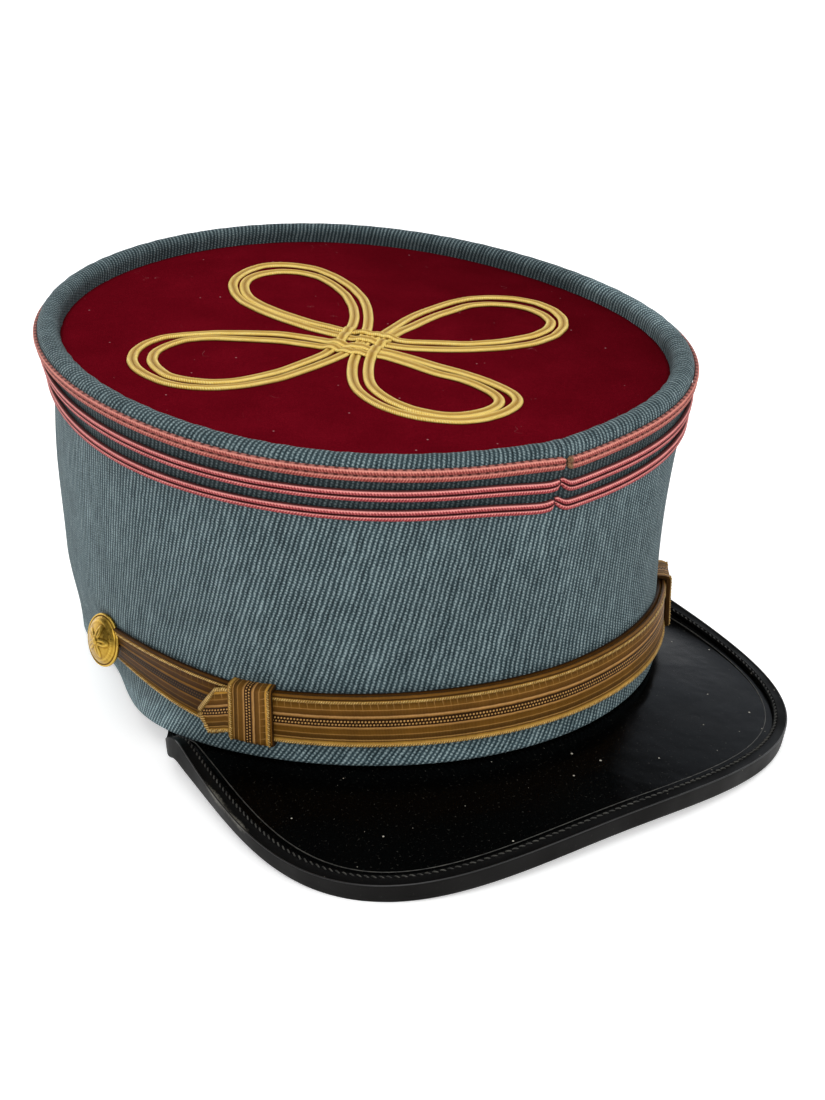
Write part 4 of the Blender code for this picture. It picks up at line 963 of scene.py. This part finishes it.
def makeKeepers():
    first, last = keeper["turns"]
    reach = lace["width"] / 2 + keeper["margin"]
    inner = strap["gap"] + 2 * (lace["thick"] + strap["gap"])
    outer = inner + keeper["thick"]
    threads = []
    for name, side in (("keeper_right", -1), ("keeper_left", 1)):
        turns = side * np.linspace(first, last, 21)
        shares = np.linspace(0, 1, 21)
        # the loop's way round: out over the top, down the front, in under the lower edge, then its inner face
        foot = strap["gap"] * 0.4
        outline = [(reach - 0.1, foot), (reach, 0.8), (reach, outer * 0.62), (reach - 0.35, outer * 0.88)]
        outline += [(reach - 1.0, outer)]
        outline += [(up, outer + 0.08) for up in np.linspace(reach - 2.2, -reach + 2.2, 9)]
        outline += [(-reach + 1.0, outer), (-reach + 0.35, outer * 0.88), (-reach, outer * 0.62)]
        outline += [(-reach, 0.8), (-reach + 0.1, foot), (-reach + 1.0, foot), (-reach + 1.0, inner + 0.05)]
        outline += [(reach - 1.0, inner + 0.05), (reach - 1.0, foot)]
        outline = np.array(outline)
        fromEdge = np.minimum(shares, 1 - shares)
        ribs = 0.16 * np.exp(-((fromEdge - 0.05) / 0.035) ** 2) + 0.07 * np.sin(shares * 6 * math.pi) ** 2
        middle = strapHeight(turns)
        out = outline[:, 1] + ribs[:, None] * (outline[:, 1] > inner + 0.3)
        # it has slid askew: its lower edge sits nearer the front
        slid = turns[:, None] - side * (reach - outline[:, 0]) * keeper["shear"] / keeper["perDegree"]
        points = wallPoint(slid, middle[:, None] + outline[:, 0], out)
        around = lengthAlong(closed(outline))
        uv = np.stack(np.broadcast_arrays(around, shares[:, None]), -1)
        gridPiece(name + "_lace", points, uv, goldLace, wrapColumns=True, caps=True, slot="gold_lace",
                  replaces=[name], flip=(side > 0), sharp=50)
        for share in (0.07, 0.93):
            turn = side * (first + (last - first) * share)
            ups = np.linspace(reach - 0.3, -reach + 0.3, 90)
            slid = turn - side * (reach - ups) * keeper["shear"] / keeper["perDegree"]
            path = wallPoint(slid, float(strapHeight(turn)) + ups,
                             outer + 0.30 - 0.5 * (np.abs(ups) / reach) ** 12)
            threads.append(tube(path, 0.30, 6, 0.30, lace["bead"] * 1.6, outward=unit(path * [1, 1, 0])))
    points, faces, uvs = joinMeshes(threads)
    addPiece("keeper_edge_threads", points, faces, uvs, edgeThread, slot="gold_lace")


makeKeepers()
print("keepers made")


# brass buttons
# stamped brass, rubbed bright on the high parts and brown in the hollows
def makeBrass():
    material, tree, surface = newMaterial("stamped_brass", Metallic=1.0, Roughness=0.3)
    uv = put(tree, "UVMap", uv_map="cloth")
    grime = put(tree, "TexNoise", {"Vector": uv, "Scale": 0.9, "Detail": 4.0, "Roughness": 0.65})
    geometry = put(tree, "NewGeometry", output="Pointiness")
    toneMask = put(tree, "MapRange", {"Value": geometry, 1: 0.47, 2: 0.54, 3: 0.0, 4: 1.0})
    tone = put(tree, "Math", {0: grime, 1: 0.6, 2: toneMask}, operation="MULTIPLY_ADD")
    colour = put(tree, "ValToRGB", {"Fac": tone}, stops=((0.2, "#5a400f"), (0.6, "#9a7525"), (1.0, "#c9a548")))
    rough = put(tree, "MapRange", {"Value": grime, 1: 0.3, 2: 0.7, 3: 0.22, 4: 0.42})
    scratch = put(tree, "TexNoise", {"Vector": uv, "Scale": 6.0, "Detail": 2.0})
    bump = put(tree, "Bump", {"Strength": 0.3, "Distance": 0.00005, "Height": scratch})
    wire(tree, surface, Base_Color=colour, Roughness=rough, Normal=bump)
    return material


brass = makeBrass()
button = {"scale": 0.955, "height": 3.4, "petals": 5, "low": 2.25, "back": 2.7, "faces": (0.955, -0.215, 0.205)}


def makeButtons():
    for name, side in (("button_right", -1), ("button_left", 1)):
        turn = side * strap["buttonTurn"]
        height = strapHeight(turn) - button["low"]
        seat = wallPoint(np.array(float(turn)), height, 0.0)
        # it hangs off the wall, turned a little to the front and upwards
        outward = unit(np.array(button["faces"]) * [side, 1, 1])
        across = unit(np.cross([0, 0, 1.0], outward))
        up = np.cross(outward, across)
        back = button["back"]
        count = 96
        bend = np.arange(count) * 2 * math.pi / count
        dome = np.linspace(6.6, 0.12, 32)
        # the shank, then the rolled border from under the edge to the foot of the dome
        border = [4.0, 6.6, 7.2, 7.5, 7.6, 7.58, 7.45, 7.25, 7.1, 6.95, 6.8]
        borderLift = np.array([0, 0, 0.08, 0.25, 0.55, 0.85, 1.12, 1.18, 1.10, 0.95, 1.02])
        radii = np.concatenate([[1.4, 1.45, 1.5], border, dome])
        radii[3:] *= button["scale"]
        domeLift = (button["height"] - 1.15) * (1 - (dome / 6.95) ** 2) ** 0.9
        levels = np.concatenate([[-0.6, back - 0.2, back], back + borderLift, back + 1.05 + domeLift])
        # a plain stamped rosette with a ring of beads, nobody's badge
        inner = radii[None, :] * np.ones((count, 1))
        onDome = np.arange(len(radii)) > 13
        swing = np.cos(button["petals"] * bend)[:, None]
        petal = 0.24 * smooth((3.4 + 1.5 * swing - inner) / 0.6) * onDome
        core = 0.16 * smooth((1.1 - inner) / 0.35) * onDome
        offVein = np.sin(button["petals"] * bend / 2)[:, None]
        vein = -0.14 * np.exp(-((inner - 2.3) / 1.0) ** 2) * np.exp(-(offVein / 0.22) ** 2)
        beaded = 0.35 + 0.65 * np.cos(bend * 28)[:, None] ** 2
        ringBeads = 0.16 * np.exp(-((inner - 5.35) / 0.32) ** 2) * beaded
        level = levels[None, :] + petal + core + vein * onDome + ringBeads
        points = seat + (inner * np.cos(bend)[:, None])[..., None] * across + (
            inner * np.sin(bend)[:, None])[..., None] * up + level[..., None] * outward
        uv = np.stack([inner * np.cos(bend)[:, None], inner * np.sin(bend)[:, None]], -1)
        uv = np.concatenate([uv, uv[:1]], 0)
        rows, columns = points.shape[:2]
        spots, uvSpots = gridFaces(rows, columns, wrapRows=True)
        faces = spots.tolist() + [[i * columns + columns - 1 for i in range(rows)],
                                  [i * columns for i in reversed(range(rows))]]
        corners = np.vstack([atCorners(uv, uvSpots), uv[:-1, -1], uv[:-1, 0][::-1]])
        addPiece(name + "_brass", points.reshape(-1, 3), faces, corners, brass, slot="brass",
                 replaces=[name], sharp=60)


makeButtons()
print("buttons made")


# patent visor
visor = {"thick": 2.8, "lip": 2.2, "attachTurn": 70.0, "halfWidth": 79.0, "front": 131.2, "squareFrom": 56.2,
         "right": 3.52, "left": 3.03, "offset": 1.0, "end": 29.7, "endFlat": 4.8, "endRun": 15.5, "tuck": 2.9,
         "tuckRun": 16.0, "tuckTurns": (58.0, 70.0), "endInset": 6.2, "endLip": 0.3, "leastRun": 12.0,
         "heart": (0.0, -75.0, 0.0), "slope": 0.2175, "arch": 0.00121, "slopeFrom": 98.8, "endSink": 1.8,
         "sideRise": 2.7, "probe": 0.004}
binding = {"thick": 0.8, "reach": 2.4, "share": 0.5, "nose": 1.25, "fade": 0.12, "rise": 1.6}
plateDrop = 0.3 + visor["thick"] / 2


def visorNose(share):
    share = np.asarray(share, float)
    reach = visor["front"] - visor["squareFrom"]
    endAngle = math.pi / 2 + math.asin((visor["squareFrom"] - visor["end"]) / reach)
    angle = np.abs(share) * endAngle
    power = 2 / np.where(share > 0, visor["left"], visor["right"])
    across = visor["halfWidth"] * np.abs(np.sin(angle)) ** power
    level = np.where(angle < math.pi / 2, np.abs(np.cos(angle)) ** power, np.cos(angle))
    forward = visor["squareFrom"] + reach * level
    sloped = -visor["slope"] * (forward - visor["slopeFrom"]) - visor["arch"] * across ** 2
    offEnd = smooth((forward - visor["end"] - visor["endFlat"]) / visor["endRun"])
    flat = -visor["endSink"] + (visor["sideRise"] + visor["endSink"]) * offEnd
    height = np.minimum(sloped, flat) - plateDrop
    across = across - visor["tuck"] * (1 - smooth((forward - visor["end"]) / visor["tuckRun"]))
    return np.stack([np.where(share < 0, -1, 1) * across + visor["offset"] * offEnd, -forward, height], -1)


def visorAttach(share, lip):
    turn = np.asarray(share, float) * visor["attachTurn"]
    first, last = visor["tuckTurns"]
    nearEnd = smooth((np.abs(turn) - first) / (last - first))
    inset = lip + (lip * visor["endLip"] + visor["endInset"] - lip) * nearEnd
    drop = (plateDrop + visor["endSink"] * nearEnd)[:, None]
    return crownPoint(turn, 0.0, inset) - np.array([0, 0, 1.0]) * drop


def visorFrame(share):
    attach, nose = visorAttach(share, 0.0), visorNose(share)
    after, before = np.minimum(share + visor["probe"], 1), np.maximum(share - visor["probe"], -1)
    along = unit(visorNose(after) - visorNose(before))
    level = unit(np.stack([along[:, 1], -along[:, 0], np.zeros(len(share))], -1))
    away = np.sum(level * (nose - np.array(visor["heart"])), -1, keepdims=True)
    level = np.where(away < 0, -level, level)
    reach = nose - attach
    run = np.maximum(np.linalg.norm(reach[:, :2], axis=-1), visor["leastRun"])
    outward = np.stack([level[:, 0], level[:, 1], reach[:, 2] / run], -1)
    outward = unit(outward - along * np.sum(outward * along, -1, keepdims=True))
    up = unit(np.cross(outward, along))
    up = np.where(up[:, 2:] < 0, -up, up)
    return attach, nose, outward, up


def bindingReach(attach, nose, outward):
    return np.minimum(binding["reach"], binding["share"] * np.sum((nose - attach) * outward, -1))


def visorShares(count):
    even = np.linspace(-1, 1, count)
    return even + (np.sin(even * math.pi / 2) - even) * 0.4


# patent leather: a thick black lacquer with faint waves, dust and a rubbed edge
def makePatent(name, dusty, roughness, gloss, scuffed=0.0):
    material, tree, surface = newMaterial(name, IOR=1.5, Specular_IOR_Level=gloss)
    uv = put(tree, "UVMap", uv_map="cloth")
    wave = put(tree, "TexNoise", {"Vector": uv, "Scale": 0.10, "Detail": 2.0})
    grain = put(tree, "TexNoise", {"Vector": uv, "Scale": 1.4, "Detail": 4.0, "Roughness": 0.6})
    smear = put(tree, "TexNoise", {"Vector": uv, "Scale": 0.05, "Detail": 3.0})
    rough = put(tree, "MapRange", {"Value": smear, 1: 0.35, 2: 0.7, 3: roughness, 4: roughness * 1.8})
    # dust: sparse pale specks of uneven size
    cell = put(tree, "TexVoronoi", {"Vector": uv, "Scale": 0.42, "Randomness": 1.0}, feature="F1")
    own = put(tree, "TexVoronoi", {"Vector": uv, "Scale": 0.42, "Randomness": 1.0}, output="Color",
              feature="F1")
    size = put(tree, "SeparateXYZ", {0: own}, output="X")
    size = put(tree, "Math", {0: size, 1: 5.0}, operation="POWER")
    size = put(tree, "Math", {0: size, 1: 0.15}, operation="MULTIPLY")
    speck = put(tree, "Math", {0: size, 1: cell}, operation="SUBTRACT")
    speck = put(tree, "MapRange", {"Value": speck, 1: 0.0, 2: 0.03, 3: 0.0, 4: dusty})
    film = put(tree, "MapRange", {"Value": grain, 1: 0.62, 2: 0.8, 3: 0.0, 4: 0.10 * dusty})
    dust = put(tree, "Math", {0: speck, 1: film}, operation="ADD")
    if scuffed:
        # the place where the edge has been knocked and has gone grey
        side = put(tree, "SeparateXYZ", {0: put(tree, "UVMap", uv_map="rub")}, output="Y")
        rub = put(tree, "SeparateXYZ", {0: put(tree, "UVMap", uv_map="rub")}, output="X")
        rub = put(tree, "MapRange", {"Value": rub, 1: 0.0, 2: 1.0, 3: -0.35, 4: 0.45})
        ragged = put(tree, "TexNoise", {"Vector": uv, "Scale": 0.8, "Detail": 6.0, "Roughness": 0.9})
        rub = put(tree, "Math", {0: rub, 1: ragged}, operation="ADD")
        rub = put(tree, "MapRange", {"Value": rub, 1: 0.60, 2: 0.92, 3: 0.0, 4: scuffed})
        dust = put(tree, "Math", {0: dust, 1: rub}, operation="ADD")
    colour = toLinear("#020202")
    if scuffed:
        # the cut edge has lost its lacquer and is plain black leather
        colour = put(tree, "Mix", {0: side, 6: colour, 7: toLinear("#0f0e0d")}, **coloured)
    colour = put(tree, "Mix", {0: dust, 6: colour, 7: toLinear("#b0ac9f")}, **coloured)
    height = put(tree, "Math", {0: grain, 1: 0.05, 2: wave}, operation="MULTIPLY_ADD")
    bump = put(tree, "Bump", {"Strength": 0.35, "Distance": 0.0006, "Height": height})
    wire(tree, surface, Base_Color=colour, Roughness=rough, Normal=bump)
    return material


patent = makePatent("patent_leather", dusty=1.0, roughness=0.16, gloss=0.035)
edgeLeather = makePatent("worn_edge_leather", dusty=0.4, roughness=0.42, gloss=0.08, scuffed=0.42)


def makeVisor():
    share = visorShares(361)
    attach, nose, outward, up = visorFrame(share)
    reach = bindingReach(attach, nose, outward)
    # the edge dwindles where it goes under the hem
    full = smooth((1 - np.abs(share)) / binding["fade"])[:, None]
    half = visor["thick"] / 2
    straight = np.array([0, 0, 1.0])
    rows = [(visorAttach(share, visor["lip"]), np.broadcast_to(straight, attach.shape))]
    innerEdge = nose - outward * (reach + 0.3)[:, None]
    for step in np.linspace(0, 1, 22):
        middle = attach + (innerEdge - attach) * step
        eased = attach[:, 2] + (innerEdge[:, 2] - attach[:, 2]) * step ** 2
        middle = np.concatenate([middle[:, :2], np.minimum(middle[:, 2], eased)[:, None]], 1)
        rows.append((middle, unit(straight + (up - straight) * step)))
    rows.append((nose + outward * (binding["nose"] - binding["thick"] - 0.3) * full, up))
    thin = half * (0.12 + 0.88 * full)
    lifted = straight * binding["rise"] * (1 - full)
    upper = [middle + lifted + lift * thin for middle, lift in rows]
    lower = [middle + lifted - lift * thin for middle, lift in reversed(rows)]
    points = np.stack(upper + lower, 1)
    uv = np.stack([points[..., 0], points[..., 1]], -1)
    uv = np.concatenate([uv, uv[:, :1]], 1)
    gridPiece("visor_plate", points, uv, patent, wrapColumns=True, caps=True, slot="patent_leather",
              replaces=["visor"], sharp=40)
    # the binding: a rounded nose, a pressed line and a sunk row of stitches inside its edge
    innerHalf = half + 0.3
    outerHalf = innerHalf + binding["thick"]
    # (share of the reach, mm up), and from the nose on (mm out, mm up)
    profile = [(-1.0, outerHalf - 0.6), (-0.985, outerHalf - 0.25), (-0.965, outerHalf),
               (-0.94, outerHalf + 0.02), (-0.88, outerHalf - 0.22), (-0.76, outerHalf - 0.32),
               (-0.64, outerHalf - 0.22), (-0.57, outerHalf + 0.02), (-0.40, outerHalf - 0.05),
               (-0.1, outerHalf - 0.08)]
    # a fine raised line runs along the top corner of the cut edge
    noseProfile = [(1.0, outerHalf - 0.06), (1.75, outerHalf - 0.02), (1.98, outerHalf + 0.07),
                   (2.16, outerHalf + 0.12), (2.30, outerHalf + 0.04), (2.36, outerHalf - 0.16),
                   (2.39, outerHalf - 0.6), (2.40, outerHalf - 1.4), (2.40, 0.0),
                   (2.39, 1.2 - outerHalf), (2.35, 0.6 - outerHalf), (2.22, 0.2 - outerHalf),
                   (1.95, 0.02 - outerHalf), (1.1, -outerHalf)]
    tail = [(-0.2, -outerHalf), (-0.95, -outerHalf), (-1.0, -outerHalf + 0.3), (-1.0, -innerHalf)]
    fold = binding["nose"] - binding["thick"]
    inside = [(fold, -innerHalf), (fold, innerHalf)]
    columns = []
    for out, lift in profile:
        columns.append((out * reach, lift))
    for out, lift in noseProfile:
        columns.append((np.full(len(share), out * binding["nose"] / 2.4), lift))
    for out, lift in tail:
        columns.append((out * reach, lift))
    for out, lift in inside:
        columns.append((np.full(len(share), out), lift))
    columns.append((-reach, innerHalf))
    points = np.stack([nose + (outward * np.asarray(out)[:, None]) * (full if np.max(out) > 0 else 1.0)
                       + lifted + up * lift * (0.12 + 0.88 * full) for out, lift in columns], 1)
    arc = lengthAlong(nose)
    # mm across the leather, a place for each column
    breadth = np.concatenate([[0, 0.3, 0.6, 1.0, 1.3, 1.7, 2.1, 2.4, 3.1, 4.3],
                              5.3 + np.arange(len(noseProfile)) * 0.6, 14 + np.arange(4) * 1.5,
                              [22, 24, 29, 33]])
    uv = np.stack(np.broadcast_arrays(arc[:, None], breadth), -1)
    # rubbed in two places towards its end at the wearer's right
    where = np.exp(-((share + 0.775) / 0.030) ** 2) + np.exp(-((share + 0.715) / 0.034) ** 2)
    rub = where[:, None] * np.interp(breadth, [3.1, 5, 6.5, 8.5, 11], [0, 0.7, 1, 0.8, 0.1])
    cutEdge = ((breadth > 8.2) & (breadth < 12.5)) * np.ones((len(share), 1))
    rubUv = np.stack([rub, cutEdge], -1)
    gridPiece("visor_binding_leather", points, uv, edgeLeather, wrapColumns=True, caps=True,
              slot="patent_leather", replaces=["visor_binding"], extra={"rub": rubUv}, sharp=60)
    return outerHalf


outerHalf = makeVisor()
print("visor made")


def makeStitches():
    # waxed thread: slanting stitches in the binding's groove, and a finer line pressed just inside it
    material, tree, surface = newMaterial("waxed_thread", Roughness=0.5, Specular_IOR_Level=0.4)
    uv = put(tree, "UVMap", uv_map="cloth")
    wear = put(tree, "TexNoise", {"Vector": uv, "Scale": 0.6, "Detail": 3.0})
    colour = put(tree, "ValToRGB", {"Fac": wear}, stops=((0.3, "#161615"), (0.7, "#474640")))
    wire(tree, surface, Base_Color=colour)
    share = np.linspace(-0.93, 0.93, 3001)
    attach, nose, outward, up = visorFrame(share)
    reach = bindingReach(attach, nose, outward)
    arc = lengthAlong(nose)
    spacing, length = 1.8, 1.25
    built = []
    for middle in np.arange(1.5, arc[-1] - 1.5, spacing):
        spots = middle + np.linspace(-0.5, 0.5, 6) * length
        at = [np.stack([np.interp(spots, arc, block[:, k]) for k in range(3)], -1)
              for block in (nose, outward, up)]
        wide = np.interp(spots, arc, reach)
        slide = np.linspace(-0.32, 0.32, 6)
        hump = np.array([0.0, 0.16, 0.24, 0.24, 0.16, 0.0])
        path = at[0] + at[1] * (-0.76 * wide + slide)[:, None] + at[2] * (outerHalf - 0.32 + hump)[:, None]
        points, faces, uvs = tube(path, 0.20, 6, outward=at[2])
        built.append((points, faces, uvs + np.array([middle, 0])))
    points, faces, uvs = joinMeshes(built)
    addPiece("visor_stitches", points, faces, uvs, material, slot="patent_leather")
    # the lacquered ridge along the top corner of the edge catches the light
    ridge, _, _ = newMaterial("lacquered_ridge", Roughness=0.3, Specular_IOR_Level=0.5)
    ridge.node_tree.nodes["Principled BSDF"].inputs["Base Color"].default_value = toLinear("#0b0b0b")
    along = np.linspace(-0.86, 0.9, 900)
    attach, nose, outward, up = visorFrame(along)
    path = nose + outward * (binding["nose"] - 0.24) + up * (outerHalf + 0.02)
    points, faces, uvs = tube(path, 0.2, 6, outward=up)
    addPiece("visor_edge_ridge", points, faces.tolist(), uvs, ridge, slot="patent_leather")
    # the raised line on the plate, just inside the binding
    keep = np.linspace(-0.92, 0.92, 700)
    attach, nose, outward, up = visorFrame(keep)
    reach = bindingReach(attach, nose, outward)
    path = nose - outward * (reach + 1.9)[:, None] + up * (visor["thick"] / 2 - 0.06)
    points, faces, uvs = tube(path, 0.16, 6, outward=up)
    addPiece("visor_pressed_line", points, faces.tolist(), uvs, material, slot="patent_leather")


makeStitches()
print("stitches made")


# floor, light and camera

def addStage(name, corners, glow):
    # plain white paper; a little light of its own keeps it even
    material, _, surface = newMaterial(name + "_paper", Roughness=0.9, Specular_IOR_Level=0.1)
    surface.inputs["Base Color"].default_value = toLinear("#f4f4f4")
    surface.inputs["Emission Color"].default_value = (1, 1, 1, 1)
    surface.inputs["Emission Strength"].default_value = glow
    mesh = bpy.data.meshes.new(name)
    mesh.from_pydata(corners, [], [(0, 1, 2, 3)])
    mesh.materials.append(material)
    paper = bpy.data.objects.new(name, mesh)
    bpy.context.scene.collection.objects.link(paper)


def makeStage():
    addStage("floor", [(-3, -3, 0), (3, -3, 0), (3, 1.7, 0), (-3, 1.7, 0)], 0.45)
    addStage("backdrop", [(-3, 1.7, 0), (3, 1.7, 0), (3, 1.7, 1.0), (-3, 1.7, 1.0)], 1.0)
    world = bpy.data.worlds.new("studio")
    world.use_nodes = True
    world.node_tree.nodes["Background"].inputs["Color"].default_value = toLinear("#f4f6f8")
    world.node_tree.nodes["Background"].inputs["Strength"].default_value = 0.14
    bpy.context.scene.world = world
    lights = (
        # (name, place, aim, size, watts, colour)
        ("key", (-0.75, -1.05, 1.0), (0, 0, 0.05), 0.9, 9.0, "#ffffff"),
        ("front", (0.8, -1.3, 0.8), (0, 0, 0.04), 0.7, 4.5, "#ffffff"),
        ("overhead", (0.0, -0.3, 2.1), (0, -0.3, 0.0), 2.4, 34.0, "#ffffff"),
        ("side", (1.6, 0.9, 1.0), (0.05, -0.05, 0.03), 0.9, 3.1, "#e8f2ff"),
    )
    for name, place, aim, size, watts, tint in lights:
        lamp = bpy.data.lights.new(name, "AREA")
        lamp.shape = "SQUARE"
        lamp.size = size
        lamp.energy = watts
        lamp.color = toLinear(tint)[:3]
        holder = bpy.data.objects.new(name, lamp)
        bpy.context.scene.collection.objects.link(holder)
        away = np.array(place) - np.array(aim)
        back = away / np.linalg.norm(away)
        right = unit(np.cross([0, 1.0, 0] if abs(back[2]) > 0.99 else [0, 0, 1.0], back))
        above = np.cross(back, right)
        rows = [[right[i], above[i], back[i], place[i]] for i in range(3)]
        holder.matrix_world = Matrix(rows + [[0, 0, 0, 1]])
    scene = bpy.context.scene
    scene.view_settings.view_transform = "Standard"
    camera = bpy.data.cameras.new("camera")
    camera.sensor_width = 36
    camera.lens = 49.09
    camera.clip_start = 0.02
    eye = bpy.data.objects.new("camera", camera)
    scene.collection.objects.link(eye)
    # where the photograph was taken from, fitted to the outline
    eye.matrix_world = Matrix(((0.853436, 0.213438, -0.475491, -0.196896),
                               (-0.52056, 0.303931, -0.797899, -0.349656),
                               (-0.025785, 0.928477, 0.370493, 0.195885),
                               (0, 0, 0, 1)))
    scene.camera = eye


makeStage()
bpy.context.view_layer.update()
print("stage made")
